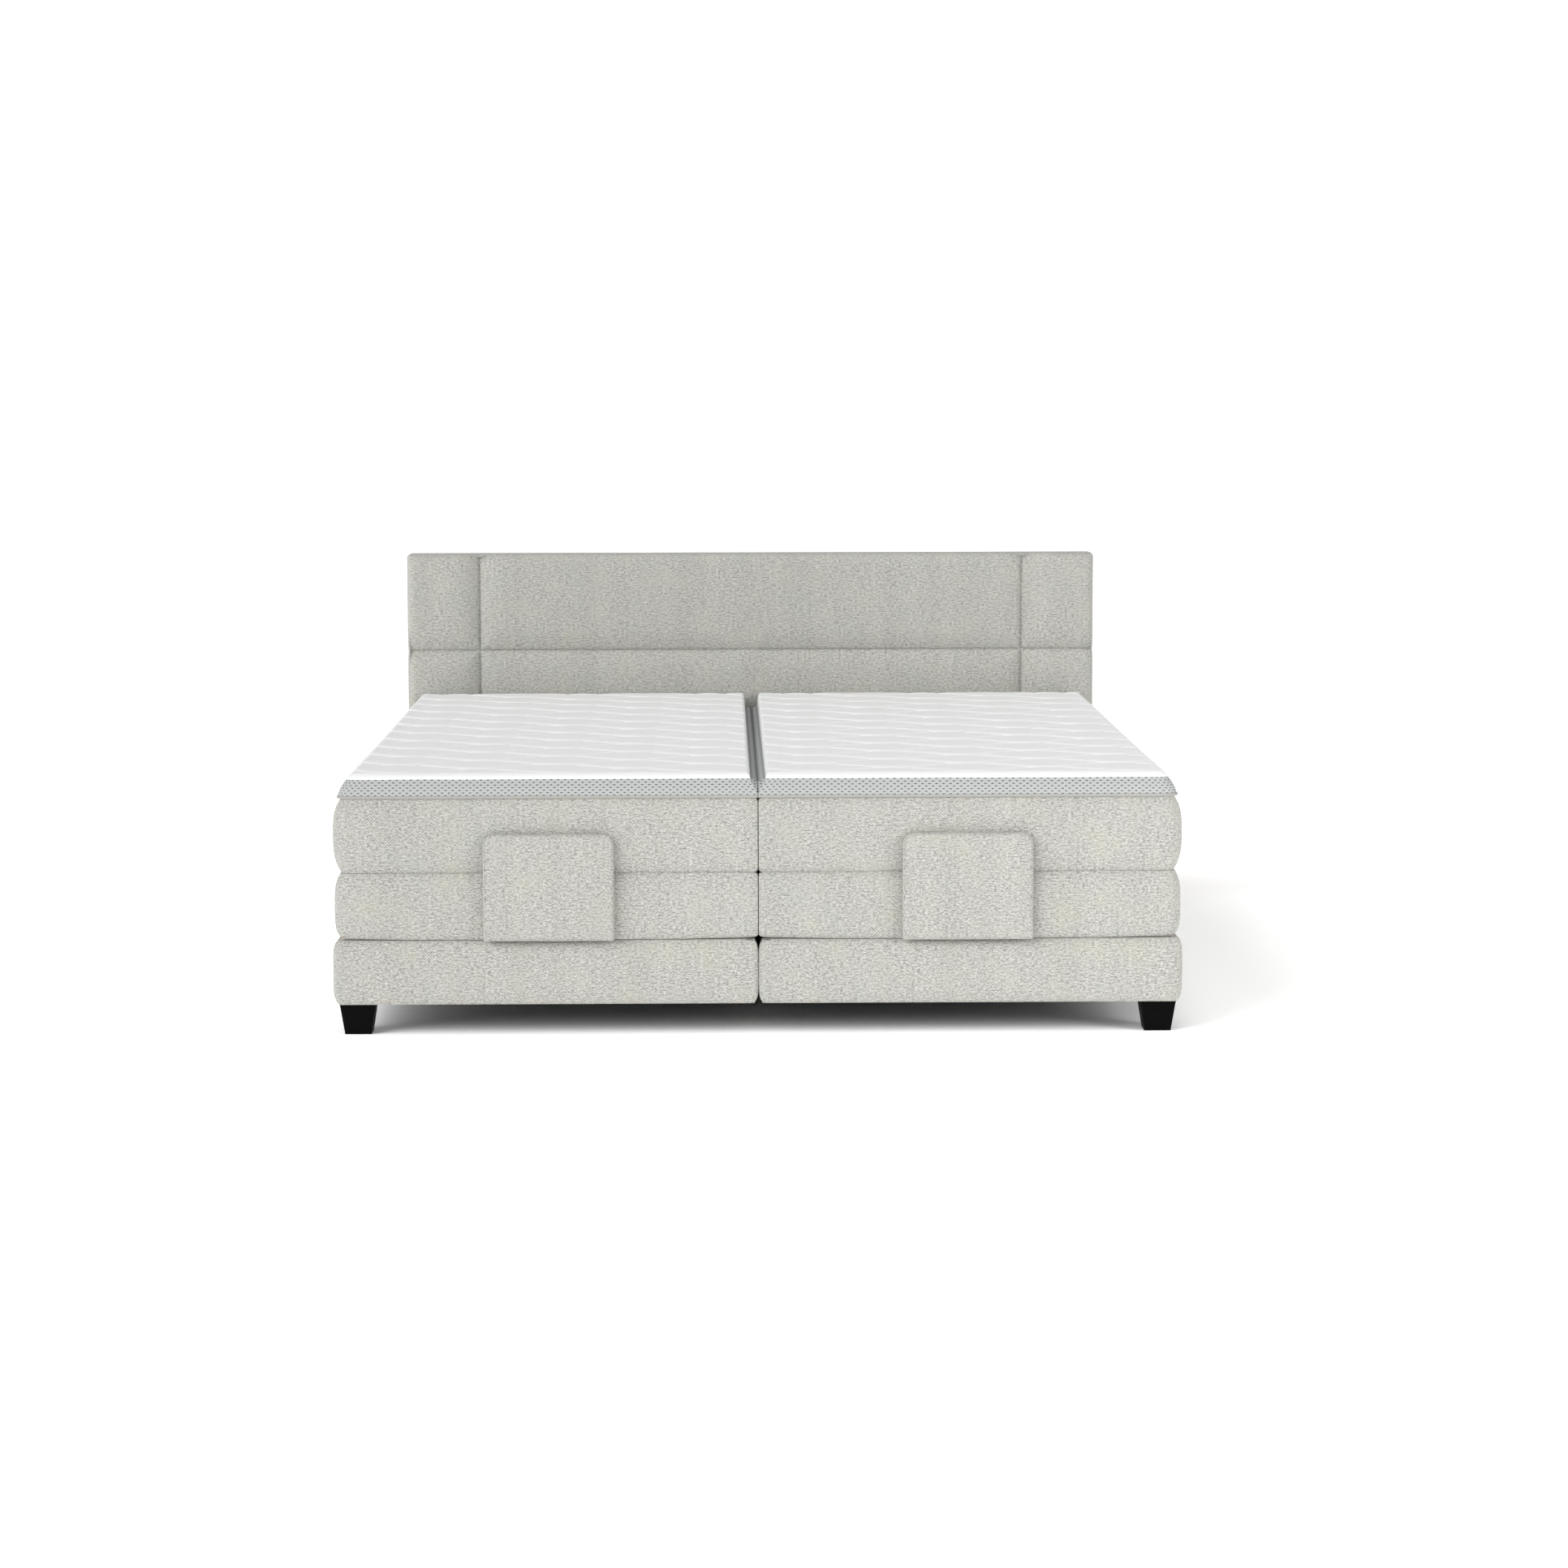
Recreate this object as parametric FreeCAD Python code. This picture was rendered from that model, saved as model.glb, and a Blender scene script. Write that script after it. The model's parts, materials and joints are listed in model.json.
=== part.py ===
"""Electric double box-spring bed, 180 x 200 cm, with two independently adjustable sides.

Frame: +X to the right as seen from the foot end, +Y towards the headboard, +Z up.
The origin is on the floor, under the middle of the bed's bounding box. Lengths are millimetres.

Each side is a fixed base box that holds a twin drive, and on it an upholstered box in four
sections: back, seat, thigh and calf. The seat is fixed, the back tilts up from it, the thigh
tilts up on its other side, and the calf hangs from the thigh at the knee.
"""
import FreeCAD, Part
import math
import os

Vector = FreeCAD.Vector

# Overall layout
BED_WIDTH = 1800.0
BED_LENGTH = 2000.0
CENTRE_GAP = 8.0
HEADBOARD_DEPTH = 90.0
FOOT_PLATE_DEPTH = 25.0

# Heights above the floor
BASE_BOTTOM = 67.0
BASE_TOP = 204.0
BOX_TOP = 350.0
MATTRESS_TOP = 505.0
TOPPER_TOP = 575.0
HEADBOARD_TOP = 941.0
FOOT_PLATE_TOP = 432.0

# Lengths of the sections, from the head end, and how far each joint moves
BACK_LENGTH = 750.0
SEAT_LENGTH = 270.0
THIGH_LENGTH = 340.0
BACK_LIFT = math.radians(60)
THIGH_LIFT = math.radians(28)
KNEE_FOLD = math.radians(38)

# Clearances
RUNNING = 0.05
LAYER_GAP = 0.3
REST_GAP = 1.0
FOLD_GAP = 1.0
HEAD_END_GAP = 12.0

# How far a cutting tool stands past the face that it cuts, and how far an edge may be from its plane
OVERCUT = 1.0
EDGE_REACH = 1.0

# Upholstered base box
PAD = 12.0
PAD_ROUND = 11.0
RAIL = 22.0
DUST_COVER = 2.0
CROSS_RAIL_WIDTH = 80.0
CROSS_RAIL_HEIGHT = 30.0
CENTRE_LEG_SETBACK = 450.0
CORNER_BLOCK = 90.0
CORNER_BLOCK_HEIGHT = 60.0

# Legs and their bolts
LEG_TOP = 76.0
LEG_BOTTOM = 56.0
LEG_SIDE_INSET = 11.0
LEG_FRONT_INSET = 25.0
CENTRE_LEG_TOP_R = 28.0
CENTRE_LEG_BOTTOM_R = 22.0
CENTRE_LEG_X = 60.0
LEG_BOLT_R = 5.0
LEG_BOLT_BOTTOM = 22.0
LEG_BOLT_CLEAR = 2.0

# Plates that join the two base boxes from below
LINK_Y = 700.0
LINK_LENGTH = 90.0
LINK_WIDTH = 60.0
LINK_THICK = 3.0
LINK_SCREW_Y = 18.0
LINK_SCREW_R = 2.5
LINK_SCREW_LENGTH = 30.0
LINK_SCREW_SPARE = 1.0
SCREW_HEAD_R = 5.0
SCREW_HEAD = 2.0

# Headboard
HEADBOARD_CORE = 20.0
HEADBOARD_ROUND = 12.0
CORE_INSET = 6.0
HEADBOARD_BOLT_X = (-700.0, -300.0, 300.0, 700.0)
HEADBOARD_BOLT_Z = 140.0
HEADBOARD_BOLT_R = 4.0
BOLT_HEAD_R = 7.0
BOLT_HEAD = 5.0
COUNTERBORE = 10.0
COUNTERBORE_R = 8.0
SOFT_HOLE_CLEAR = 1.0

# Upholstered section boxes and the steel frames inside them
BOX_WALL = 20.0
BOX_PANEL = 12.0
FRAME_RAIL_WIDTH = 20.0
FRAME_RAIL_HEIGHT = 32.0
FRAME_TUBE_WALL = 2.0
CROSSBAR_WIDTH = 20.0
HINGE_RAIL_GAP = 20.0
EAR_R = 14.0
EAR_THICK = 6.0
EAR_ON_RAIL = 22.0
TONGUE_THICK = 8.0
TONGUE_GAP = 0.5
PIN_R = 6.0
PIN_HEAD_R = 9.0
PIN_HEAD = 3.0
PIN_CLIP = 2.0

# Lift shafts, their arms and rollers
SHAFT_R = 15.0
SHAFT_BORE_R = 12.5
SHAFT_HALF_LENGTH = 411.0
SHAFT_DROP = 152.0
BACK_SHAFT_OFFSET = 180.0
THIGH_SHAFT_OFFSET = 130.0
BACK_ROLLER_OFFSET = 340.0
THIGH_ROLLER_OFFSET = 260.0
BACK_SHAFT_RATIO = 1.2
THIGH_SHAFT_RATIO = 2.0
ARM_X = 250.0
ARM_THICK = 10.0
ARM_BOSS_R = 24.0
ARM_END_R = 9.0
ROLLER_R = 12.0
ROLLER_WIDTH = 12.0
ROLLER_GAP = 1.0
ROLLER_PIN_R = 5.0
LIFT_RAIL_WIDTH = 40.0
LIFT_RAIL_STEPS = 16
LIFT_RAIL_OVERRUN = math.radians(2)
LIFT_RAIL_TANGENT = 0.001
BEARING_THICK = 18.0
BEARING_HALF = 26.0

# Levers, push blocks, spindles, motors and their housing
LEVER_LENGTH = 62.0
LEVER_BOSS_R = 19.0
LEVER_TIP_R = 8.0
LEVER_X = 18.0
LEVER_THICK = 8.0
LEVER_GAP = 6.0
BLOCK_LENGTH = 40.0
BLOCK_HALF_WIDTH = 26.0
BLOCK_BOTTOM = 92.0
BLOCK_TOP = 119.5
SPINDLE_R = 6.0
HOUSING_HALF_WIDTH = 60.0
HOUSING_WALL = 4.0
HOUSING_BOTTOM = 82.0
HOUSING_TOP = 194.0
HOUSING_END = 56.0
HOUSING_ROUND = 10.0
MOTOR_R = 26.0
MOTOR_LENGTH = 110.0
MOTOR_Z = 150.0
GEARBOX_LENGTH = 30.0
GEARBOX_HALF_WIDTH = 30.0
GEARBOX_TOP = 178.0
GEARBOX_SPACE = 5.0
SPINDLE_END_CLEAR = 4.0

# Control box with its mains inlet
CONTROL_HALF_WIDTH = 80.0
CONTROL_HEIGHT = 45.0
INLET_WIDTH = 20.0
INLET_HEIGHT = 10.0
INLET_DEPTH = 12.0

# Mattress, topper and the plates that hold the mattress at the foot end
MATTRESS_INSET = 1.0
TOPPER_SIDE_INSET = 11.0
TOPPER_CENTRE_INSET = 2.0
TOPPER_FRONT_INSET = 8.0
MATTRESS_HEAD_GAP = 3.0
FOOT_PLATE_WIDTH = 276.0
FOOT_PLATE_X = 442.5
FOOT_PLATE_ROUND = 22.0

# Places that follow from the dimensions above
DEPTH = FOOT_PLATE_DEPTH + BED_LENGTH + HEADBOARD_DEPTH
FRONT = -DEPTH / 2 + FOOT_PLATE_DEPTH
HEAD = FRONT + BED_LENGTH
BACK_HINGE_Y = HEAD - BACK_LENGTH
THIGH_HINGE_Y = BACK_HINGE_Y - SEAT_LENGTH
KNEE_Y = THIGH_HINGE_Y - THIGH_LENGTH
HALF_BED = BED_WIDTH / 2
UNIT_WIDTH = HALF_BED - CENTRE_GAP / 2
HALF_UNIT = UNIT_WIDTH / 2
UNIT_X = CENTRE_GAP / 2 + HALF_UNIT
BOX_BOTTOM = BASE_TOP + REST_GAP
PANEL_BOTTOM = BOX_TOP - BOX_PANEL
HINGE_Z = PANEL_BOTTOM - FRAME_RAIL_HEIGHT / 2
RAIL_OUTER = HALF_UNIT - BOX_WALL
RAIL_INNER = RAIL_OUTER - FRAME_RAIL_WIDTH
FRAME_TOP = PANEL_BOTTOM
FRAME_BOTTOM = FRAME_TOP - FRAME_RAIL_HEIGHT
BASE_FRAME_BOTTOM = BASE_BOTTOM + DUST_COVER
BASE_RAIL_OUTER = HALF_UNIT - PAD
BASE_RAIL_INNER = BASE_RAIL_OUTER - RAIL
SHAFT_Z = HINGE_Z - SHAFT_DROP
SPINDLE_Z = SHAFT_Z - LEVER_LENGTH
BACK_SHAFT_Y = BACK_HINGE_Y + BACK_SHAFT_OFFSET
THIGH_SHAFT_Y = THIGH_HINGE_Y - THIGH_SHAFT_OFFSET
HOUSING_START = THIGH_SHAFT_Y - HOUSING_END
HOUSING_STOP = BACK_SHAFT_Y + HOUSING_END
HOUSING_MIDDLE = (HOUSING_START + HOUSING_STOP) / 2
LEG_X = HALF_BED - LEG_SIDE_INSET - LEG_TOP / 2
LEG_Y_INSET = LEG_FRONT_INSET + LEG_TOP / 2


# Basic shapes

def slab(x0, x1, y0, y1, z0, z1):
    """A rectangular block between two corners."""
    return Part.makeBox(x1 - x0, y1 - y0, z1 - z0, Vector(x0, y0, z0))


def outline_bar(points, x0, x1):
    """A bar along X whose section is a closed outline of (y, z) points."""
    corners = [Vector(x0, y, z) for y, z in points]
    face = Part.Face(Part.makePolygon(corners + corners[:1]))
    return face.extrude(Vector(x1 - x0, 0, 0))


def rod_x(x0, x1, y, z, radius):
    return Part.makeCylinder(radius, x1 - x0, Vector(x0, y, z), Vector(1, 0, 0))


def rod_y(y0, y1, x, z, radius):
    return Part.makeCylinder(radius, y1 - y0, Vector(x, y0, z), Vector(0, 1, 0))


def rod_z(z0, z1, x, y, radius):
    return Part.makeCylinder(radius, z1 - z0, Vector(x, y, z0), Vector(0, 0, 1))


def tube_along_y(x0, x1, y0, y1, z0, z1):
    """A square steel tube along Y, open at its ends."""
    wall = FRAME_TUBE_WALL
    inside = slab(x0 + wall, x1 - wall, y0, y1, z0 + wall, z1 - wall)
    return slab(x0, x1, y0, y1, z0, z1).cut(inside)


def tube_along_x(x0, x1, y0, y1, z0, z1):
    """A square steel tube along X, open at its ends."""
    wall = FRAME_TUBE_WALL
    inside = slab(x0, x1, y0 + wall, y1 - wall, z0 + wall, z1 - wall)
    return slab(x0, x1, y0, y1, z0, z1).cut(inside)


def round_edges(shape, direction, radius, keep=lambda edge: True):
    """Round the straight edges that run along a direction and pass the keep test."""
    chosen = []
    for edge in shape.Edges:
        start = edge.Vertexes[0].Point
        end = edge.Vertexes[-1].Point
        along = (end - start).normalize()
        if abs(along.dot(direction)) > 0.999 and keep(edge):
            chosen.append(edge)
    return shape.makeFillet(radius, chosen)


def mirrored(shape):
    """The shape and its mirror image across the unit's middle plane."""
    return [shape, shape.mirror(Vector(0, 0, 0), Vector(1, 0, 0))]


def drilled(shapes, tools):
    """The shapes with every tool cut out of them."""
    result = []
    for shape in shapes:
        for tool in tools:
            if shape.BoundBox.intersect(tool.BoundBox):
                shape = shape.cut(tool)
        result.append(shape)
    return result


def tapered_plate(x0, x1, start, start_r, end, end_r):
    """A flat plate across X: two round ends of their own radii, joined by tangent sides."""
    reach = math.hypot(end[0] - start[0], end[1] - start[1])
    heading = math.atan2(end[1] - start[1], end[0] - start[0])
    opening = math.acos((start_r - end_r) / reach)
    sides = []
    for turn in (heading + opening, heading - opening):
        sides.append((
            (start[0] + start_r * math.cos(turn), start[1] + start_r * math.sin(turn)),
            (end[0] + end_r * math.cos(turn), end[1] + end_r * math.sin(turn)),
        ))
    web = outline_bar([sides[0][0], sides[0][1], sides[1][1], sides[1][0]], x0, x1)
    plate = web.fuse([rod_x(x0, x1, *start, start_r), rod_x(x0, x1, *end, end_r)])
    return plate.removeSplitter()


# Base boxes, which stand still

def leg_places(side):
    """Centres of one side's two corner legs, in the unit's own X."""
    x = side * (LEG_X - UNIT_X)
    return [(x, FRONT + LEG_Y_INSET), (x, HEAD - LEG_Y_INSET)]


def centre_leg_places(side):
    x = side * (CENTRE_LEG_X - UNIT_X)
    return [(x, FRONT + CENTRE_LEG_SETBACK), (x, HEAD - CENTRE_LEG_SETBACK)]


def headboard_bolt_places(side):
    return [x - side * UNIT_X for x in HEADBOARD_BOLT_X if x * side > 0]


def link_screw_places(side):
    """Screws from the link plates into the rail beside the middle of the bed."""
    x = -side * (BASE_RAIL_OUTER - RAIL / 2)
    return [(x, end * LINK_Y + offset) for end in (-1, 1)
            for offset in (-LINK_SCREW_Y, LINK_SCREW_Y)]


def base_frame(side):
    """Timber box: four rails, two cross rails and four corner blocks."""
    y0 = FRONT + PAD
    y1 = HEAD - PAD
    bottom = BASE_FRAME_BOTTOM
    parts = mirrored(slab(BASE_RAIL_INNER, BASE_RAIL_OUTER, y0, y1, bottom, BASE_TOP))
    for start in (y0, y1 - RAIL):
        parts.append(slab(-BASE_RAIL_INNER, BASE_RAIL_INNER, start, start + RAIL, bottom, BASE_TOP))
    for _, y in centre_leg_places(side):
        half = CROSS_RAIL_WIDTH / 2
        parts.append(slab(-BASE_RAIL_INNER, BASE_RAIL_INNER, y - half, y + half,
                          bottom, bottom + CROSS_RAIL_HEIGHT))
    for start in (y0 + RAIL, y1 - RAIL - CORNER_BLOCK):
        parts += mirrored(slab(BASE_RAIL_INNER - CORNER_BLOCK, BASE_RAIL_INNER, start,
                               start + CORNER_BLOCK, bottom, bottom + CORNER_BLOCK_HEIGHT))
    holes = [rod_z(0, BASE_TOP, x, y, LEG_BOLT_R + RUNNING)
             for x, y in leg_places(side) + centre_leg_places(side)]
    holes += [rod_z(0, bottom + LINK_SCREW_LENGTH, x, y, LINK_SCREW_R + RUNNING)
              for x, y in link_screw_places(side)]
    holes += [rod_y(y1 - RAIL - OVERCUT, HEAD, x, HEADBOARD_BOLT_Z, HEADBOARD_BOLT_R + RUNNING)
              for x in headboard_bolt_places(side)]
    return drilled(parts, holes)


def base_cover(side):
    """Padded cover of the base box: a full-width pad at each end and a pad on each flank."""
    front = slab(-HALF_UNIT, HALF_UNIT, FRONT, FRONT + PAD, BASE_BOTTOM, BASE_TOP)
    front = round_edges(front, Vector(0, 0, 1), PAD_ROUND,
                        lambda edge: edge.BoundBox.YMax < FRONT + EDGE_REACH)
    back = slab(-HALF_UNIT, HALF_UNIT, HEAD - PAD, HEAD, BASE_BOTTOM, BASE_TOP)
    hole_radius = HEADBOARD_BOLT_R + SOFT_HOLE_CLEAR
    holes = [rod_y(HEAD - PAD - OVERCUT, HEAD + OVERCUT, x, HEADBOARD_BOLT_Z, hole_radius)
             for x in headboard_bolt_places(side)]
    flank = slab(BASE_RAIL_OUTER, HALF_UNIT, FRONT + PAD, HEAD - PAD, BASE_BOTTOM, BASE_TOP)
    return [front] + drilled([back], holes) + mirrored(flank)


def dust_cover(side):
    """Thin sheet under the base box, with holes for the bolts."""
    sheet = slab(-BASE_RAIL_OUTER, BASE_RAIL_OUTER, FRONT + PAD, HEAD - PAD,
                 BASE_BOTTOM, BASE_BOTTOM + DUST_COVER)
    holes = [rod_z(0, BASE_TOP, x, y, LEG_BOLT_R + SOFT_HOLE_CLEAR)
             for x, y in leg_places(side) + centre_leg_places(side)]
    holes += [rod_z(0, BASE_TOP, x, y, LINK_SCREW_R + SOFT_HOLE_CLEAR)
              for x, y in link_screw_places(side)]
    return drilled([sheet], holes)


def square_wire(x, y, z, size):
    half = size / 2
    corners = [Vector(x + i * half, y + j * half, z) for i, j in ((-1, -1), (1, -1), (1, 1), (-1, 1))]
    return Part.makePolygon(corners + corners[:1])


def corner_legs(side):
    """Square legs that taper towards the floor, bored from the top for their bolts."""
    legs = []
    for x, y in leg_places(side):
        leg = Part.makeLoft([square_wire(x, y, 0, LEG_BOTTOM), square_wire(x, y, BASE_BOTTOM, LEG_TOP)],
                            True, True)
        bore = rod_z(LEG_BOLT_BOTTOM - LEG_BOLT_CLEAR, BASE_BOTTOM + OVERCUT, x, y, LEG_BOLT_R + RUNNING)
        legs.append(leg.cut(bore))
    return legs


def centre_legs(side):
    """Round support legs near the middle of the bed, set back from both ends."""
    legs = []
    for x, y in centre_leg_places(side):
        leg = Part.makeCone(CENTRE_LEG_BOTTOM_R, CENTRE_LEG_TOP_R, BASE_BOTTOM, Vector(x, y, 0))
        bore = rod_z(LEG_BOLT_BOTTOM - LEG_BOLT_CLEAR, BASE_BOTTOM + OVERCUT, x, y, LEG_BOLT_R + RUNNING)
        legs.append(leg.cut(bore))
    return legs


def leg_bolts(side):
    bolts = [rod_z(LEG_BOLT_BOTTOM, BASE_FRAME_BOTTOM + CORNER_BLOCK_HEIGHT, x, y, LEG_BOLT_R)
             for x, y in leg_places(side)]
    bolts += [rod_z(LEG_BOLT_BOTTOM, BASE_FRAME_BOTTOM + CROSS_RAIL_HEIGHT, x, y, LEG_BOLT_R)
              for x, y in centre_leg_places(side)]
    return bolts


def link_plates():
    """Steel plates under both base boxes, each held by four screws."""
    parts = []
    top = BASE_BOTTOM
    bottom = top - LINK_THICK
    screws = [(x + side * UNIT_X, y) for side in (-1, 1) for x, y in link_screw_places(side)]
    for end in (-1, 1):
        y = end * LINK_Y
        plate = slab(-LINK_LENGTH / 2, LINK_LENGTH / 2, y - LINK_WIDTH / 2, y + LINK_WIDTH / 2, bottom, top)
        holes = [rod_z(bottom - OVERCUT, top + OVERCUT, *place, LINK_SCREW_R + RUNNING)
                 for place in screws]
        parts += drilled([plate], holes)
    for place in screws:
        shank = rod_z(bottom, BASE_FRAME_BOTTOM + LINK_SCREW_LENGTH - LINK_SCREW_SPARE, *place, LINK_SCREW_R)
        head = rod_z(bottom - SCREW_HEAD, bottom, *place, SCREW_HEAD_R)
        parts.append(shank.fuse(head))
    return parts


# Headboard

def headboard():
    """The padded front, the board behind it and the bolts into the base boxes."""
    back = HEAD + HEADBOARD_DEPTH
    board_front = back - HEADBOARD_CORE
    pad = slab(-HALF_BED, HALF_BED, HEAD + LAYER_GAP, board_front, BASE_BOTTOM, HEADBOARD_TOP)
    pad = round_edges(pad, Vector(0, 0, 1), HEADBOARD_ROUND,
                      lambda edge: edge.BoundBox.YMax < HEAD + EDGE_REACH)
    board = slab(-HALF_BED + CORE_INSET, HALF_BED - CORE_INSET, board_front, back,
                 BASE_BOTTOM, HEADBOARD_TOP - CORE_INSET)
    z = HEADBOARD_BOLT_Z
    soft_holes = []
    board_holes = []
    bolts = []
    for x in HEADBOARD_BOLT_X:
        soft_holes.append(rod_y(HEAD - OVERCUT, back, x, z, HEADBOARD_BOLT_R + SOFT_HOLE_CLEAR))
        board_holes.append(rod_y(HEAD, back + OVERCUT, x, z, HEADBOARD_BOLT_R + RUNNING))
        board_holes.append(rod_y(back - COUNTERBORE, back + OVERCUT, x, z, COUNTERBORE_R))
        shank = rod_y(HEAD - PAD - RAIL - BOLT_HEAD, back - COUNTERBORE, x, z, HEADBOARD_BOLT_R)
        head = rod_y(back - COUNTERBORE, back - COUNTERBORE + BOLT_HEAD, x, z, BOLT_HEAD_R)
        bolts.append(shank.fuse(head))
    return drilled([pad], soft_holes), drilled([board], board_holes), bolts


# Sections of the adjustable box, the mattress and the topper

FREE = None
SECTIONS = {
    "calf": {"ends": (FRONT, KNEE_Y), "folds": (FREE, ("down", KNEE_FOLD / 2))},
    "thigh": {"ends": (KNEE_Y, THIGH_HINGE_Y), "folds": (("down", KNEE_FOLD / 2), ("up", THIGH_LIFT / 2))},
    "seat": {"ends": (THIGH_HINGE_Y, BACK_HINGE_Y), "folds": (("up", THIGH_LIFT / 2), ("up", BACK_LIFT / 2))},
    "back": {"ends": (BACK_HINGE_Y, HEAD), "folds": (("up", BACK_LIFT / 2), FREE)},
}


def end_setback(z, fold, free_gap):
    """How far a section stops short of the hinge plane at a height, so that the fold can close."""
    if fold is FREE:
        return free_gap
    direction, half_angle = fold
    height = z - HINGE_Z if direction == "up" else HINGE_Z - z
    return FOLD_GAP / 2 + max(0.0, height) * math.tan(half_angle) + (FOLD_GAP / 2 if height > 0 else 0.0)


def section_slab(name, x0, x1, z0, z1, foot_gap=0.0, head_gap=0.0):
    """A block of one section, with its ends cut back on the inside of each fold."""
    section = SECTIONS[name]
    heights = [z0, z1]
    if z0 < HINGE_Z < z1:
        heights.insert(1, HINGE_Z)
    low = [(section["ends"][0] + end_setback(z, section["folds"][0], foot_gap), z) for z in heights]
    high = [(section["ends"][1] - end_setback(z, section["folds"][1], head_gap), z) for z in heights]
    return outline_bar(low + high[::-1], x0, x1)


def section_board(name):
    """Upholstered box of one section: a top panel, two flanks and a wall at a free end."""
    bottom = BASE_TOP if name == "seat" else BOX_BOTTOM
    head_gap = HEAD_END_GAP
    flank = section_slab(name, RAIL_OUTER, HALF_UNIT, bottom, PANEL_BOTTOM, 0.0, head_gap)
    parts = [section_slab(name, -HALF_UNIT, HALF_UNIT, PANEL_BOTTOM, BOX_TOP, 0.0, head_gap)]
    parts += mirrored(flank)
    if name == "calf":
        parts.append(slab(-RAIL_OUTER, RAIL_OUTER, FRONT, FRONT + BOX_WALL, bottom, PANEL_BOTTOM))
    if name == "back":
        end = HEAD - head_gap
        parts.append(slab(-RAIL_OUTER, RAIL_OUTER, end - BOX_WALL, end, bottom, PANEL_BOTTOM))
    return parts


def hinge_ear(hinge_y, inward):
    """Plate on the inner side of a rail that carries the pin; inward is the side its rail is on."""
    end = hinge_y + inward * (HINGE_RAIL_GAP + EAR_ON_RAIL)
    x0 = RAIL_INNER - EAR_THICK
    plate = slab(x0, RAIL_INNER, min(hinge_y, end), max(hinge_y, end), HINGE_Z - EAR_R, HINGE_Z + EAR_R)
    plate = plate.fuse(rod_x(x0, RAIL_INNER, hinge_y, HINGE_Z, EAR_R)).removeSplitter()
    return plate.cut(rod_x(x0 - OVERCUT, RAIL_INNER + OVERCUT, hinge_y, HINGE_Z, PIN_R + RUNNING))


def hinge_tongue(hinge_y, inward):
    """Plate in line with a rail that turns on the pin, beside the ear."""
    end = hinge_y + inward * HINGE_RAIL_GAP
    x0 = RAIL_INNER + TONGUE_GAP
    x1 = x0 + TONGUE_THICK
    plate = slab(x0, x1, min(hinge_y, end), max(hinge_y, end), HINGE_Z - EAR_R, HINGE_Z + EAR_R)
    plate = plate.fuse(rod_x(x0, x1, hinge_y, HINGE_Z, EAR_R)).removeSplitter()
    return plate.cut(rod_x(x0 - OVERCUT, x1 + OVERCUT, hinge_y, HINGE_Z, PIN_R + RUNNING))


def hinge_pins(hinge_y):
    """One hinge's two pins: head on the inner side, clip on the outer side."""
    head_start = RAIL_INNER - EAR_THICK - PIN_HEAD
    clip_start = RAIL_INNER + TONGUE_GAP + TONGUE_THICK + TONGUE_GAP
    shank = rod_x(head_start, clip_start + PIN_CLIP, hinge_y, HINGE_Z, PIN_R)
    head = rod_x(head_start, head_start + PIN_HEAD, hinge_y, HINGE_Z, PIN_HEAD_R)
    clip = rod_x(clip_start, clip_start + PIN_CLIP, hinge_y, HINGE_Z, PIN_HEAD_R)
    return mirrored(shank.fuse([head, clip]))


def ladder(y0, y1, crossbars):
    """Two rails along the section and square tubes across them."""
    parts = mirrored(tube_along_y(RAIL_INNER, RAIL_OUTER, y0, y1, FRAME_BOTTOM, FRAME_TOP))
    for y in crossbars:
        parts.append(tube_along_x(-RAIL_INNER, RAIL_INNER, y, y + CROSSBAR_WIDTH, FRAME_BOTTOM, FRAME_TOP))
    return parts


def roller_path(shaft_offset, roller_offset, ratio, lift):
    """Roller centre as seen from a section, for one lift angle.

    Places are measured from the hinge: first along the section, then up. The shaft turns
    ratio times as far as the section, and the path is what keeps the roller on its rail.
    """
    reach = math.hypot(roller_offset - shaft_offset, SHAFT_DROP)
    start = math.atan2(SHAFT_DROP, roller_offset - shaft_offset)
    along = shaft_offset + reach * math.cos(start + ratio * lift)
    up = -SHAFT_DROP + reach * math.sin(start + ratio * lift)
    return (along * math.cos(lift) + up * math.sin(lift), -along * math.sin(lift) + up * math.cos(lift))


def lift_rail(hinge_y, direction, shaft_offset, roller_offset, ratio, full_lift):
    """Rail under a section: its lower edge is shaped so that the rollers follow it exactly."""
    edge = []
    first = -LIFT_RAIL_OVERRUN
    last = full_lift + LIFT_RAIL_OVERRUN / 2
    for step in range(LIFT_RAIL_STEPS + 1):
        lift = first + (last - first) * step / LIFT_RAIL_STEPS
        here = roller_path(shaft_offset, roller_offset, ratio, lift)
        after = roller_path(shaft_offset, roller_offset, ratio, lift + LIFT_RAIL_TANGENT)
        run = (after[0] - here[0], after[1] - here[1])
        size = math.hypot(*run)
        # The path heads for the hinge, so the rail lies on its right-hand side, which is up.
        normal = (run[1] / size, -run[0] / size)
        offset = ROLLER_R + LAYER_GAP
        edge.append((here[0] + normal[0] * offset, here[1] + normal[1] * offset))
    top = FRAME_TOP - HINGE_Z
    outline = edge + [(edge[-1][0], top), (edge[0][0], top)]
    points = [(hinge_y + direction * along, HINGE_Z + up) for along, up in outline]
    half = LIFT_RAIL_WIDTH / 2
    return outline_bar(points, ARM_X - half, ARM_X + half)


def seat_frame():
    inset = HINGE_RAIL_GAP + EAR_ON_RAIL + CROSSBAR_WIDTH
    bars = (THIGH_HINGE_Y + inset, BACK_HINGE_Y - inset - CROSSBAR_WIDTH)
    parts = ladder(THIGH_HINGE_Y + HINGE_RAIL_GAP, BACK_HINGE_Y - HINGE_RAIL_GAP, bars)
    parts += mirrored(hinge_ear(THIGH_HINGE_Y, 1))
    parts += mirrored(hinge_ear(BACK_HINGE_Y, -1))
    return parts


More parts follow.
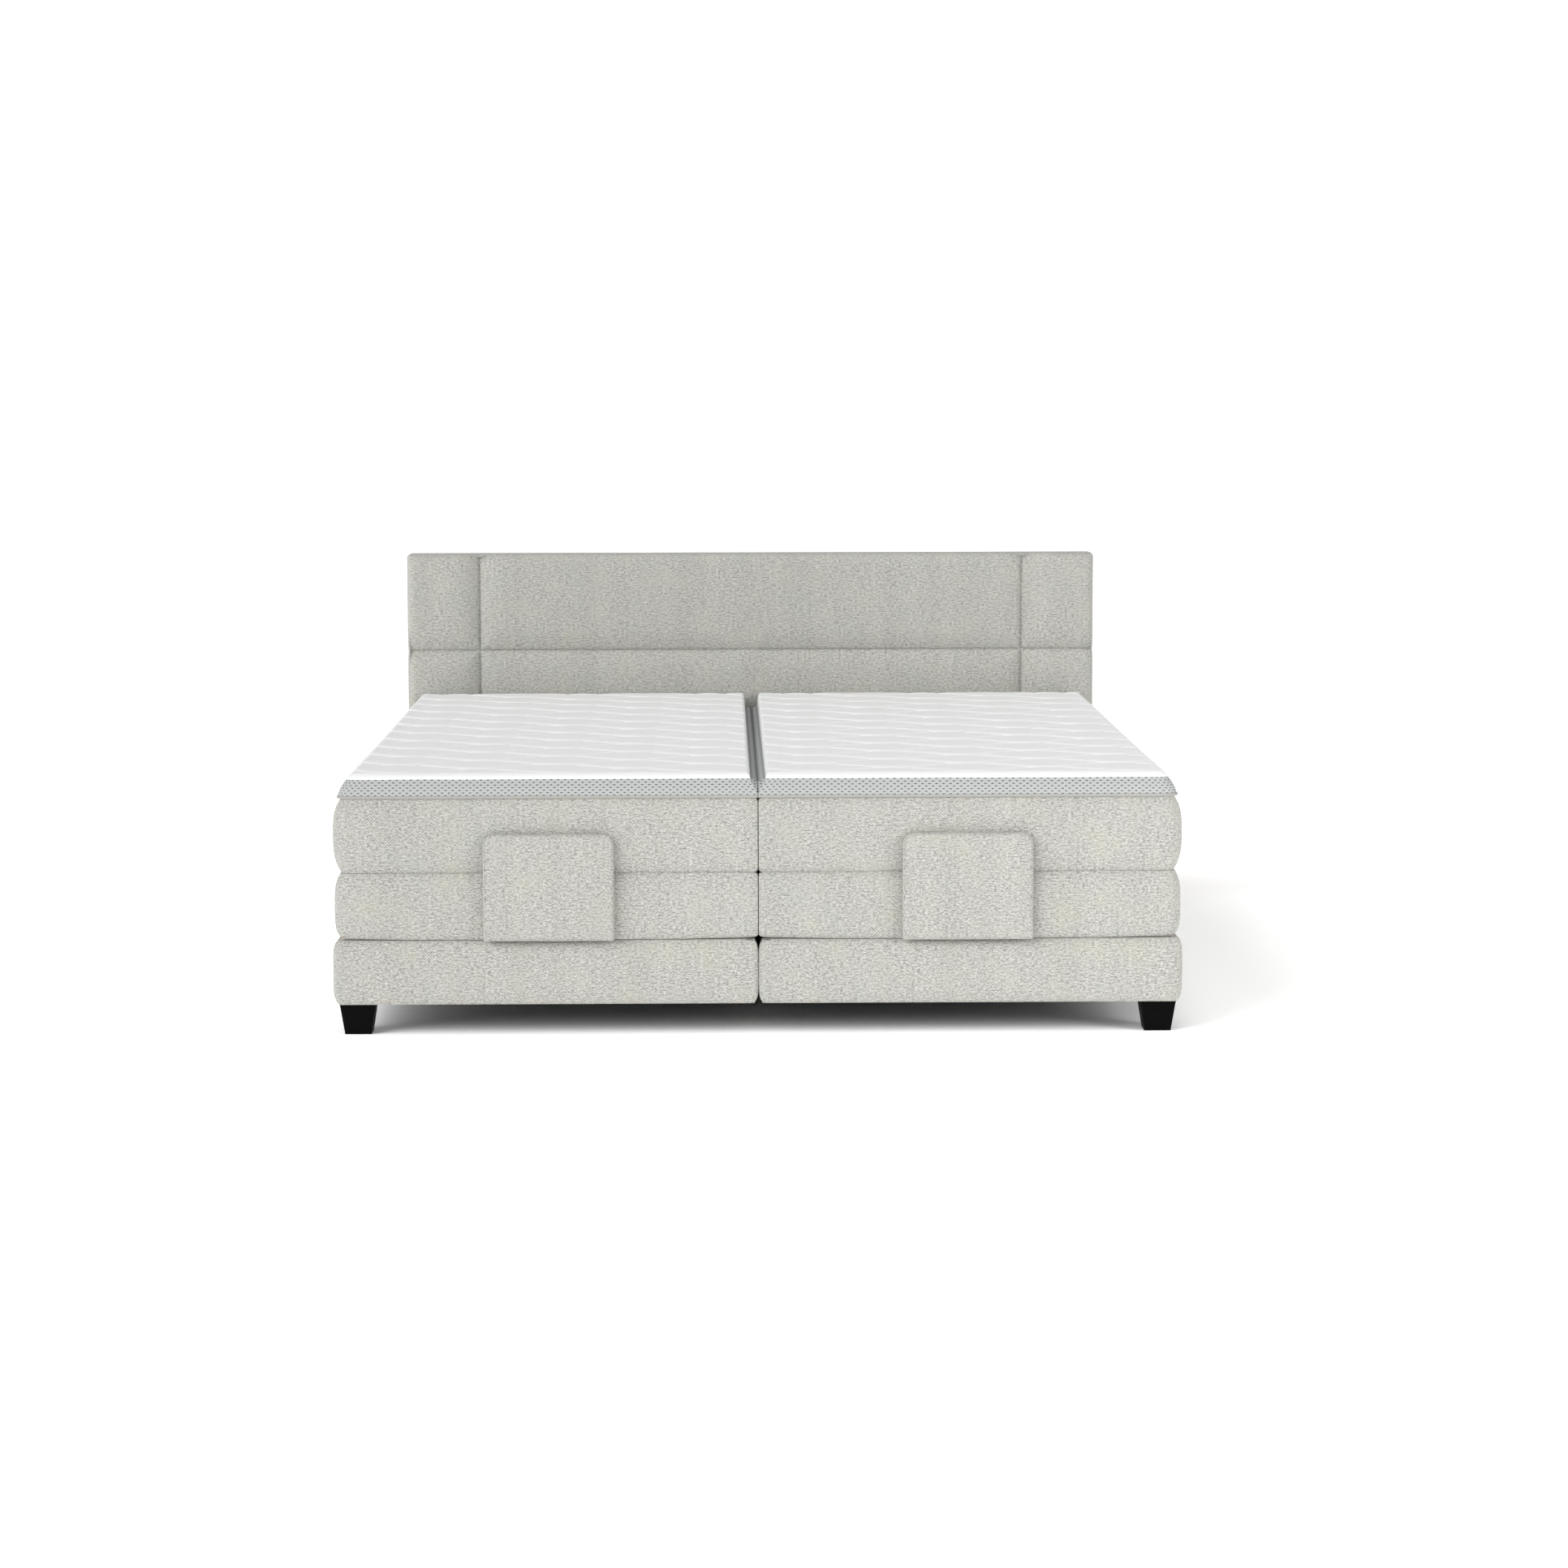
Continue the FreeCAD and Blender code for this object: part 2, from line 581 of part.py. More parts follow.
def back_frame():
    """Ladder with three crossbars and two lift rails between the first two."""
    near = BACK_HINGE_Y + HINGE_RAIL_GAP + FRAME_TUBE_WALL
    middle = BACK_HINGE_Y + BACK_ROLLER_OFFSET + 2 * CROSSBAR_WIDTH
    end = HEAD - HEAD_END_GAP - BOX_WALL
    parts = ladder(BACK_HINGE_Y + HINGE_RAIL_GAP, end, (near, middle, end - 2 * CROSSBAR_WIDTH))
    parts += mirrored(hinge_tongue(BACK_HINGE_Y, 1))
    parts += mirrored(lift_rail(BACK_HINGE_Y, 1, BACK_SHAFT_OFFSET, BACK_ROLLER_OFFSET,
                                BACK_SHAFT_RATIO, BACK_LIFT))
    return parts


def thigh_frame():
    """Ladder with two crossbars and two lift rails between them."""
    near = THIGH_HINGE_Y - HINGE_RAIL_GAP - FRAME_TUBE_WALL - CROSSBAR_WIDTH
    far = KNEE_Y + HINGE_RAIL_GAP + EAR_ON_RAIL + FRAME_TUBE_WALL
    parts = ladder(KNEE_Y + HINGE_RAIL_GAP, THIGH_HINGE_Y - HINGE_RAIL_GAP, (near, far))
    parts += mirrored(hinge_tongue(THIGH_HINGE_Y, -1))
    parts += mirrored(hinge_ear(KNEE_Y, 1))
    parts += mirrored(lift_rail(THIGH_HINGE_Y, -1, THIGH_SHAFT_OFFSET, THIGH_ROLLER_OFFSET,
                                THIGH_SHAFT_RATIO, THIGH_LIFT))
    return parts


def calf_frame():
    start = FRONT + BOX_WALL
    end = KNEE_Y - HINGE_RAIL_GAP
    bars = (start + CROSSBAR_WIDTH, (start + end) / 2, end - FRAME_TUBE_WALL - CROSSBAR_WIDTH)
    return ladder(start, end, bars) + mirrored(hinge_tongue(KNEE_Y, -1))


def mattress(name):
    half = HALF_UNIT - MATTRESS_INSET
    return [section_slab(name, -half, half, BOX_TOP + LAYER_GAP, MATTRESS_TOP - LAYER_GAP,
                         0.0, MATTRESS_HEAD_GAP)]


def topper(name, side):
    """The topper is a little narrower than the mattress on the outer side only."""
    outer = HALF_UNIT - TOPPER_SIDE_INSET
    inner = HALF_UNIT - TOPPER_CENTRE_INSET
    x0, x1 = (-inner, outer) if side > 0 else (-outer, inner)
    return [section_slab(name, x0, x1, MATTRESS_TOP, TOPPER_TOP, TOPPER_FRONT_INSET, MATTRESS_HEAD_GAP)]


def foot_plate(side):
    """Padded plate on the end of the calf box that keeps the mattress from sliding off."""
    middle = side * (FOOT_PLATE_X - UNIT_X)
    plate = slab(middle - FOOT_PLATE_WIDTH / 2, middle + FOOT_PLATE_WIDTH / 2,
                 FRONT - FOOT_PLATE_DEPTH, FRONT - LAYER_GAP, BOX_BOTTOM, FOOT_PLATE_TOP)
    plate = round_edges(plate, Vector(0, 1, 0), FOOT_PLATE_ROUND,
                        lambda edge: edge.BoundBox.ZMin > FOOT_PLATE_TOP - EDGE_REACH)
    return [plate]


# Drive: lift shafts, push blocks, spindles, motors and housing

def lift_shaft(shaft_y, direction, shaft_offset, roller_offset, sweep):
    """Torque tube with two arms, four rollers and a forked lever below it."""
    centre = (shaft_y, SHAFT_Z)
    roller = (shaft_y + direction * (roller_offset - shaft_offset), HINGE_Z)
    tube = rod_x(-SHAFT_HALF_LENGTH, SHAFT_HALF_LENGTH, *centre, SHAFT_R)
    tube = tube.cut(rod_x(-SHAFT_HALF_LENGTH, SHAFT_HALF_LENGTH, *centre, SHAFT_BORE_R))
    collar = rod_x(-SHAFT_HALF_LENGTH, SHAFT_HALF_LENGTH, *centre, SHAFT_R + RUNNING)

    x0 = ARM_X - ARM_THICK / 2
    x1 = ARM_X + ARM_THICK / 2
    pin_reach = ROLLER_WIDTH + 2 * ROLLER_GAP
    arm = tapered_plate(x0, x1, centre, ARM_BOSS_R, roller, ARM_END_R)
    arm = arm.fuse(rod_x(x0 - pin_reach, x1 + pin_reach, *roller, ROLLER_PIN_R)).cut(collar)

    parts = [tube] + mirrored(arm)
    for start in (x0 - ROLLER_GAP - ROLLER_WIDTH, x1 + ROLLER_GAP):
        wheel = rod_x(start, start + ROLLER_WIDTH, *roller, ROLLER_R)
        bore = rod_x(start, start + ROLLER_WIDTH, *roller, ROLLER_PIN_R + RUNNING)
        parts += mirrored(wheel.cut(bore))

    tip = (shaft_y - direction * LEVER_LENGTH * math.sin(sweep / 2),
           SHAFT_Z - LEVER_LENGTH * math.cos(sweep / 2))
    x0 = LEVER_X - LEVER_THICK / 2
    x1 = LEVER_X + LEVER_THICK / 2
    lever = tapered_plate(x0, x1, centre, LEVER_BOSS_R, tip, LEVER_TIP_R).cut(collar)
    return parts + mirrored(lever)


def push_block(shaft_y, direction, sweep):
    """Nut on the spindle that pushes the lever fork outwards."""
    nose = shaft_y - direction * (LEVER_LENGTH * math.sin(sweep / 2) + LEVER_TIP_R + LEVER_GAP)
    tail = nose - direction * BLOCK_LENGTH
    block = slab(-BLOCK_HALF_WIDTH, BLOCK_HALF_WIDTH, min(nose, tail), max(nose, tail),
                 BLOCK_BOTTOM, BLOCK_TOP)
    bore = rod_y(min(nose, tail) - OVERCUT, max(nose, tail) + OVERCUT, 0, SPINDLE_Z, SPINDLE_R + RUNNING)
    return [block.cut(bore)]


def housing_half(z0, z1, inner_z0, inner_z1):
    """Lower or upper half of the drive housing, split on the shafts' axes."""
    wall = HOUSING_WALL
    half = slab(-HOUSING_HALF_WIDTH, HOUSING_HALF_WIDTH, HOUSING_START, HOUSING_STOP, z0, z1)
    half = round_edges(half, Vector(0, 0, 1), HOUSING_ROUND)
    half = half.cut(slab(wall - HOUSING_HALF_WIDTH, HOUSING_HALF_WIDTH - wall,
                         HOUSING_START + wall, HOUSING_STOP - wall, inner_z0, inner_z1))
    reach = HOUSING_HALF_WIDTH + OVERCUT
    shafts = [rod_x(-reach, reach, y, SHAFT_Z, SHAFT_R + RUNNING)
              for y in (BACK_SHAFT_Y, THIGH_SHAFT_Y)]
    return drilled([half], shafts)


def motor_housing():
    lower = housing_half(HOUSING_BOTTOM, SHAFT_Z, HOUSING_BOTTOM + HOUSING_WALL, SHAFT_Z)
    upper = housing_half(SHAFT_Z, HOUSING_TOP, SHAFT_Z, HOUSING_TOP - HOUSING_WALL)
    return lower + upper


def gear_motor(direction):
    """Gearbox beside the housing's middle, with the motor can above the spindle."""
    near = HOUSING_MIDDLE + direction * GEARBOX_SPACE / 2
    far = near + direction * GEARBOX_LENGTH
    end = far + direction * MOTOR_LENGTH
    gearbox = slab(-GEARBOX_HALF_WIDTH, GEARBOX_HALF_WIDTH, min(near, far), max(near, far),
                   HOUSING_BOTTOM + HOUSING_WALL, GEARBOX_TOP)
    can = rod_y(min(far, end), max(far, end), 0, MOTOR_Z, MOTOR_R)
    return [gearbox, can]


def spindle(direction, shaft_y):
    """Threaded spindle from the gearbox to just inside the housing's end wall."""
    start = HOUSING_MIDDLE + direction * (GEARBOX_SPACE / 2 + GEARBOX_LENGTH)
    end = shaft_y + direction * (HOUSING_END - HOUSING_WALL - SPINDLE_END_CLEAR)
    return [rod_y(min(start, end), max(start, end), 0, SPINDLE_Z, SPINDLE_R)]


def shaft_bearings():
    """Plain bearing blocks on the insides of the base rails."""
    parts = []
    for y in (BACK_SHAFT_Y, THIGH_SHAFT_Y):
        block = slab(BASE_RAIL_INNER - BEARING_THICK, BASE_RAIL_INNER, y - BEARING_HALF, y + BEARING_HALF,
                     SHAFT_Z - BEARING_HALF, SHAFT_Z + BEARING_HALF)
        bore = rod_x(0, BASE_RAIL_INNER, y, SHAFT_Z, SHAFT_R + RUNNING)
        parts += mirrored(block.cut(bore))
    return parts


def control_box():
    """Power supply on the rear cross rail, with its mains inlet facing the head end."""
    y1 = HEAD - CENTRE_LEG_SETBACK + CROSS_RAIL_WIDTH / 2
    bottom = BASE_FRAME_BOTTOM + CROSS_RAIL_HEIGHT
    middle = bottom + CONTROL_HEIGHT / 2
    case = slab(-CONTROL_HALF_WIDTH, CONTROL_HALF_WIDTH, y1 - CROSS_RAIL_WIDTH, y1,
                bottom, bottom + CONTROL_HEIGHT)
    case = round_edges(case, Vector(0, 0, 1), PAD_ROUND / 2)
    inlet = slab(-INLET_WIDTH / 2, INLET_WIDTH / 2, y1 - INLET_DEPTH, y1 + OVERCUT,
                 middle - INLET_HEIGHT / 2, middle + INLET_HEIGHT / 2)
    return [case.cut(inlet)]


# Assembly

def unit_nodes(side):
    """Every sub-part of one side, in the unit's own X."""
    back_sweep = BACK_SHAFT_RATIO * BACK_LIFT
    leg_sweep = THIGH_SHAFT_RATIO * THIGH_LIFT
    own = {
        "base_frame": base_frame(side),
        "base_cover": base_cover(side),
        "seat_mattress": mattress("seat"),
        "seat_topper": topper("seat", side),
        "back_frame": back_frame(),
        "thigh_frame": thigh_frame(),
        "calf_frame": calf_frame(),
        "foot_plate": foot_plate(side),
        "knee_pins": hinge_pins(KNEE_Y),
        "back_lift_shaft": lift_shaft(BACK_SHAFT_Y, 1, BACK_SHAFT_OFFSET, BACK_ROLLER_OFFSET, back_sweep),
        "leg_lift_shaft": lift_shaft(THIGH_SHAFT_Y, -1, THIGH_SHAFT_OFFSET, THIGH_ROLLER_OFFSET, leg_sweep),
        "back_push_block": push_block(BACK_SHAFT_Y, 1, back_sweep),
        "leg_push_block": push_block(THIGH_SHAFT_Y, -1, leg_sweep),
    }
    for name in ("back", "thigh", "calf"):
        own[name + "_board"] = section_board(name)
        own[name + "_mattress"] = mattress(name)
        own[name + "_topper"] = topper(name, side)
    shared = {
        "dust_covers": dust_cover(side),
        "corner_legs": corner_legs(side),
        "centre_legs": centre_legs(side),
        "leg_bolts": leg_bolts(side),
        "seat_frames": seat_frame(),
        "seat_boards": section_board("seat"),
        "seat_hinge_pins": hinge_pins(BACK_HINGE_Y) + hinge_pins(THIGH_HINGE_Y),
        "motor_housings": motor_housing(),
        "drive_motors": gear_motor(1) + gear_motor(-1),
        "drive_spindles": spindle(1, BACK_SHAFT_Y) + spindle(-1, THIGH_SHAFT_Y),
        "shaft_bearings": shaft_bearings(),
        "control_boxes": control_box(),
    }
    return own, shared


def main():
    os.makedirs("parts", exist_ok=True)
    nodes = {}
    for side_name, side in (("left", -1), ("right", 1)):
        own, shared = unit_nodes(side)
        for prefix, group in ((side_name + "_", own), ("", shared)):
            for name, solids in group.items():
                placed = [solid.translated(Vector(side * UNIT_X, 0, 0)) for solid in solids]
                nodes.setdefault(prefix + name, []).extend(placed)
    nodes["base_link_plates"] = link_plates()
    nodes["headboard_cover"], nodes["headboard_core"], nodes["headboard_bolts"] = headboard()
    for name, solids in sorted(nodes.items()):
        shape = solids[0] if len(solids) == 1 else Part.makeCompound(solids)
        shape.exportStep("parts/" + name + ".step")
    print(len(nodes), "nodes")


main()
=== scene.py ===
import json
import math

import bmesh
import bpy
import numpy as np
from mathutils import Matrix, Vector


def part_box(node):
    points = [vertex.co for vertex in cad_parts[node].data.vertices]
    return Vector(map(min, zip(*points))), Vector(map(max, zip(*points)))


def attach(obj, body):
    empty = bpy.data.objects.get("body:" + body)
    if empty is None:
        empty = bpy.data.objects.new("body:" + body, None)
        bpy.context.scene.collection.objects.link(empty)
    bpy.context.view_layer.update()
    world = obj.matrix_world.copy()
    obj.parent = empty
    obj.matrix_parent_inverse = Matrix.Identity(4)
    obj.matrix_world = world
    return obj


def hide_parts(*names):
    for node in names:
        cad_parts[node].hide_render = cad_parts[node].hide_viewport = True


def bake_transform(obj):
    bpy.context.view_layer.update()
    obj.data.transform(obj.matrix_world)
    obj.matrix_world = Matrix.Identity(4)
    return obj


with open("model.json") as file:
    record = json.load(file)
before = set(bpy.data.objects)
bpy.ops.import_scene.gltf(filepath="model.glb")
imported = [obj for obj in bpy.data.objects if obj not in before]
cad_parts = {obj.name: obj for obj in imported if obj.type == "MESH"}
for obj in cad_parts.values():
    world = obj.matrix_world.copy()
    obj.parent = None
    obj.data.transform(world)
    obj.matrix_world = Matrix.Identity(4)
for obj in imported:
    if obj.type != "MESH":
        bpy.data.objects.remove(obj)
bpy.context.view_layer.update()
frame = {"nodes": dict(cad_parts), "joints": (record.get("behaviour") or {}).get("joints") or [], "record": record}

# An electric double box-spring bed. Lengths are metres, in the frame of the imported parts:
# +X to the right as seen from the foot end, +Y towards the headboard, +Z up.

JOINTS = {joint["name"]: joint for joint in frame["joints"]}
SIDES = {"left": -1, "right": 1}


# Places read from the frame

def span(nodes):
    """Lowest and highest corner of several nodes together."""
    boxes = [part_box(node) for node in nodes]
    low = [min(box[0][axis] for box in boxes) for axis in range(3)]
    high = [max(box[1][axis] for box in boxes) for axis in range(3)]
    return np.array(low), np.array(high)


SECTIONS = ("back", "seat", "thigh", "calf")
MATTRESS_LOW, MATTRESS_HIGH = span(f"right_{section}_mattress" for section in SECTIONS)
TOPPER_LOW, TOPPER_HIGH = span(f"right_{section}_topper" for section in SECTIONS)
BOX_LOW, BOX_HIGH = span(["right_back_board", "right_thigh_board", "right_calf_board"])
BASE_LOW, BASE_HIGH = span(["right_base_cover"])
BACK_Y = JOINTS["right_back_tilt"]["pos_m"][1]
THIGH_Y = JOINTS["right_thigh_tilt"]["pos_m"][1]
KNEE_Y = JOINTS["right_knee_fold"]["pos_m"][1]

# Soft shapes
SLIT = 0.0004  # half the gap between the two sides
EDGE_INSET = 0.0175
FRONT_INSET = 0.0115
EDGE_POWERS = (3.6, 3.0)  # the higher, the flatter the side's middle: above, below
BOX_EDGE_INSET = 0.0135
BOX_FRONT_INSET = 0.0095
BOX_EDGE_POWERS = (4.0, 4.5)
END_TIGHTNESS = 1.5
GATHER = 0.0012
SWELL = 0.0012
SEAM_ZONE = 0.03  # how far from a seam or corner the padding is at its fullest
BOX_NARROWER = 0.003
BOX_WALL = 0.0185
BOX_PANEL = 0.0075
SEAM_DROP = 0.0035
SQUEEZE = 0.06
OUTER_CORNER = 0.030
CENTRE_CORNER = 0.003
CENTRE_ROUND = 0.0085
CENTRE_ROUND_REACH = 0.030
BOX_LIFT = 0.0040
BOX_LIFT_REACH = 0.105
COLUMN = 0.0028
SIDE_COLUMN = 0.0045
PROFILE_ROWS = 19
COARSE = 12  # grid lines to a face on a side that is out of sight

# Lengths at each hinge over which the soft layers would bend; the back and knee ones also set where the layers are
# split
SOFT_BACK_BEND = 0.42
SOFT_THIGH_START = 0.06
SOFT_THIGH_END = 0.16
SOFT_KNEE_BEND = 0.26
BOX_BEND = 0.14
SPLIT_SEAT = BACK_Y - SOFT_BACK_BEND / 2
SPLIT_THIGH = KNEE_Y + SOFT_KNEE_BEND / 2

# Topper
BORDER_TOP = TOPPER_LOW[2] + 0.0395
TAPE_TOP = TOPPER_LOW[2] + 0.0065
TOPPER_LEAN = 0.0185
LEAN_POWER = 1.7
TOPPER_CENTRE_LEAN = 0.0160
CHANNEL_CLOSED = 0.85  # share of the border's height where the two toppers meet
CHANNEL_MOUTH = 0.014
CHANNEL_OPENING = 0.7  # how much of that share opens towards an end
TAPE_BULGE = 0.0022
CENTRE_TAPE_SHARE = 0.1
FOOT_ROLL = 0.0095
HEAD_RISE = 0.0255
RISE_POWER = 1.25
FOOT_ROLL_WIDTH = 0.024
HEAD_ROLL_WIDTH = 0.034
CENTRE_ROLL_WIDTH = 0.010
QUILT_WAVE = 0.330
QUILT_PITCH = 0.0865
QUILT_SWING = 0.040
QUILT_START = 0.080
QUILT_PHASE = 0.120
QUILT_PUFF = 0.0118
QUILT_SOFTNESS = 0.019
QUILT_LINES = 25
QUILT_SUNK = 0.7  # share of the puff that lies below the rolled edge
QUILT_SUNK_AT_HEAD = 0.4  # what is added to that share towards the head end
HEAD_QUILT_START = 0.8
HEAD_QUILT_FADE = 0.15
QUILT_MARGIN = 0.006
QUILT_FADE = 0.020
STITCH_ROUND = 0.0022
TOPPER_COLUMNS = (0.0045, 0.05, 0.0015)  # step, width of the finer edge, finest step
TOPPER_LINES = (0.0038, 0.045, 0.0015)
TAPE_ROWS = 5
BORDER_ROWS = 8
TOPPER_RIPPLE = 0.0006
TOPPER_EDGE_WAVE = 0.0010

# Headboard
HEAD_SEAM_X = 0.710
HEAD_SEAM_Z = 0.687
HEAD_SEAM_DEPTH = 0.0185
HEAD_SEAM_WIDTH = 0.0032
HEAD_LEVEL_SEAM_WIDTH = 0.0028
HEAD_GROOVE_SHARE = 0.22
HEAD_PAD_ROUND = 0.062
HEAD_PAD_POWER = 2.4
HEAD_KNOT = 0.003  # dimple where the level seam meets the middle
HEAD_NOTCH = 0.0035  # dimple at the middle of the upper edge
HEAD_NOTCH_DROP = 0.016
HEAD_FIELD_SLACK = 0.0010
HEAD_PUCKER = 0.0005
HEAD_SEAM_PULL = 0.0035
HEAD_MIDDLE_PULL = 0.0025
HEAD_WAIST = 0.002  # how far the level seam draws the sides in
HEAD_EDGE = 0.022
HEAD_CORNER = 0.012
HEAD_GRID = 0.008

# Foot plates
PLATE_CORNER = 0.023
PLATE_FOOT_CORNER = 0.003
PLATE_EDGE = 0.005
PLATE_THINNER = 0.004
PLATE_GRID = (0.006, 0.03, 0.0015)  # step, width of the finer edge, finest step

# Base covers
BASE_SLIT = 0.0010
BASE_CENTRE_CORNER = 0.007
BASE_OUTER_CORNER = 0.020
BASE_STEP = 0.0034
BASE_ROWS = 26
BASE_TOP_INSET = 0.0085
BASE_FOOT_INSET = 0.0102
BASE_SQUARENESS = 7
BASE_TOP_DROP = 0.0018
BASE_THICKNESS = 0.0119
BASE_LIP_WIDTH = 0.024
BASE_GATHER = 0.0009
BASE_SWELL = 0.0012


def add_object(name, data):
    made = bpy.data.objects.new(name, data)
    bpy.context.scene.collection.objects.link(made)
    return made


# Grids

IN_PLANE = {0: (1, 2), 1: (2, 0), 2: (0, 1)}  # each side's axes, in right-handed order
CLOTH_AXES = {0: (1, 2), 1: (0, 2), 2: (0, 1)}  # each side's axes, across and then up the cloth
ONE_FACE = 10000  # more grid lines than any side has
SMOOTH_ANGLE = math.radians(50)
ON_EDGE = 1e-7  # how near to an edge counts as on it


def even_lines(start, stop, step):
    """Evenly spaced grid lines, about a step apart."""
    return np.linspace(start, stop, max(2, round((stop - start) / step) + 1))


def eased_lines(start, stop, count):
    """Grid lines that crowd together towards both ends."""
    turn = np.linspace(-math.pi / 2, math.pi / 2, count)
    return (start + stop) / 2 + (stop - start) / 2 * np.sin(turn)


def edged_lines(start, stop, step, edge, finest):
    """Evenly spaced grid lines, with finer ones near both ends."""
    fine = np.linspace(0, 1, max(3, round(2 * edge / (step + finest)) + 1)) ** 1.35 * edge
    middle = even_lines(start + edge, stop - edge, step)[1:-1]
    return np.concatenate([start + fine, middle, stop - fine[::-1]])


def seam_lines(start, stop, seams, step, finest, reach):
    """Grid lines a step apart, and closer beside each seam and at both ends."""
    lines = [start]
    while lines[-1] < stop:
        here = lines[-1]
        distance = min([abs(here - seam_at) for seam_at in seams] + [here - start, stop - here])
        lines.append(here + finest + (step - finest) * min(1.0, distance / reach))
    lines[-1] = stop
    return lines


class Lattice:
    """The surface of a box, cut along grid lines and kept as faces of lattice numbers.

    A coarse side has large faces that still share every point of the fine sides beside it.
    """

    def __init__(self, xs, ys, zs):
        self.lines = [np.asarray(lines, float) for lines in (xs, ys, zs)]
        self.counts = [len(lines) for lines in self.lines]
        self.faces = []
        self.face_axes = []
        self.face_slots = []

    def add_side(self, axis, high, step=1, slot=lambda u, v: 0):
        """Adds one side's faces. slot gives a face's material from its first in-plane indices."""
        along_u, along_v = IN_PLANE[axis]
        strides = (1, self.counts[0], self.counts[0] * self.counts[1])
        first = (self.counts[axis] - 1) * strides[axis] if high else 0
        last_u = self.counts[along_u] - 1
        last_v = self.counts[along_v] - 1
        marks_u = sorted(set(range(0, last_u, step)) | {last_u})
        marks_v = sorted(set(range(0, last_v, step)) | {last_v})

        def number(u, v):
            return first + u * strides[along_u] + v * strides[along_v]

        def run(start, stop, on_rim):
            """Indices from start up to stop, with every one between them on the rim."""
            if on_rim and start != stop:
                return list(range(start, stop, 1 if stop > start else -1))
            return [start]

        for u0, u1 in zip(marks_u, marks_u[1:]):
            for v0, v1 in zip(marks_v, marks_v[1:]):
                corners = [number(u, v0) for u in run(u0, u1, v0 == 0)]
                corners += [number(u1, v) for v in run(v0, v1, u1 == last_u)]
                corners += [number(u, v1) for u in run(u1, u0, v1 == last_v)]
                corners += [number(u0, v) for v in run(v1, v0, u0 == 0)]
                self.faces.append(corners if high else corners[::-1])
                self.face_axes.append(axis)
                self.face_slots.append(slot(u0, v0))

    def places(self, numbers):
        """Undeformed coordinates of lattice numbers."""
        i = numbers % self.counts[0]
        j = numbers // self.counts[0] % self.counts[1]
        k = numbers // (self.counts[0] * self.counts[1])
        return np.stack([self.lines[0][i], self.lines[1][j], self.lines[2][k]], axis=1)

    def surface(self):
        """The undeformed points in use, and the faces as numbers of those points."""
        sizes = [len(face) for face in self.faces]
        used, renumbered = np.unique(np.concatenate(self.faces), return_inverse=True)
        faces = [part.tolist() for part in np.split(renumbered.ravel(), np.cumsum(sizes)[:-1])]
        return self.places(used), faces


def cloth_places(rest, faces, axes):
    """Each face corner's place on the cloth: its undeformed coordinates along its side."""
    corners = rest[np.concatenate(faces)]
    sizes = [len(face) for face in faces]
    corner_axes = np.repeat([CLOTH_AXES[axis] for axis in axes], sizes, axis=0)
    return np.take_along_axis(corners, corner_axes, axis=1)


def make_object(name, points, faces, cloth, slots, materials):
    """A smooth object. cloth holds each face corner's place on the cloth, in metres."""
    mesh = bpy.data.meshes.new(name)
    mesh.from_pydata(points.tolist(), [], faces)
    layer = mesh.uv_layers.new(name="cloth")
    layer.data.foreach_set("uv", cloth.astype(np.float32).ravel())
    mesh.polygons.foreach_set("material_index", np.asarray(slots, np.int32))
    mesh.polygons.foreach_set("use_smooth", np.ones(len(faces), bool))
    for material in materials:
        mesh.materials.append(material)
    mesh.set_sharp_from_angle(angle=SMOOTH_ANGLE)
    mesh.update()
    return add_object(name, mesh)


def lattice_object(name, lattice, shape, materials):
    """A closed object from a lattice whose six sides are all there."""
    rest, faces = lattice.surface()
    cloth = cloth_places(rest, faces, lattice.face_axes)
    return make_object(name, shape(rest), faces, cloth, lattice.face_slots, materials)


def shell_object(name, lattice, shape, inner, materials):
    """A closed shell: a lattice with open sides, its flat inner face and the rim between them.

    inner gives each undeformed outer point its place on the inside.
    """
    rest, outer_faces = lattice.surface()
    count = len(rest)
    inner_faces = [[corner + count for corner in face[::-1]] for face in outer_faces]
    directed = set()
    for face in outer_faces:
        directed.update(zip(face, face[1:] + face[:1]))
    rim_faces = [[b, a, a + count, b + count] for a, b in sorted(directed) if (b, a) not in directed]
    faces = outer_faces + inner_faces + rim_faces
    axes = lattice.face_axes + lattice.face_axes + [0] * len(rim_faces)
    slots = [0] * len(outer_faces) + [1] * len(inner_faces) + [0] * len(rim_faces)
    cloth = cloth_places(np.concatenate([rest, rest]), faces, axes)
    points = np.concatenate([shape(rest), inner(rest)])
    piece = make_object(name, points, faces, cloth, slots, materials)
    work = bmesh.new()
    work.from_mesh(piece.data)
    bmesh.ops.remove_doubles(work, verts=work.verts, dist=1e-5)
    bmesh.ops.dissolve_degenerate(work, edges=work.edges, dist=1e-6)
    work.to_mesh(piece.data)
    work.free()
    piece.data.set_sharp_from_angle(angle=SMOOTH_ANGLE)
    return piece


def closed_lengths(points):
    """Lengths along a closed line at each of its points, and at its first point again."""
    closed = np.concatenate([points, points[:1]])
    return np.concatenate([[0], np.cumsum(np.linalg.norm(np.diff(closed, axis=0), axis=1))])


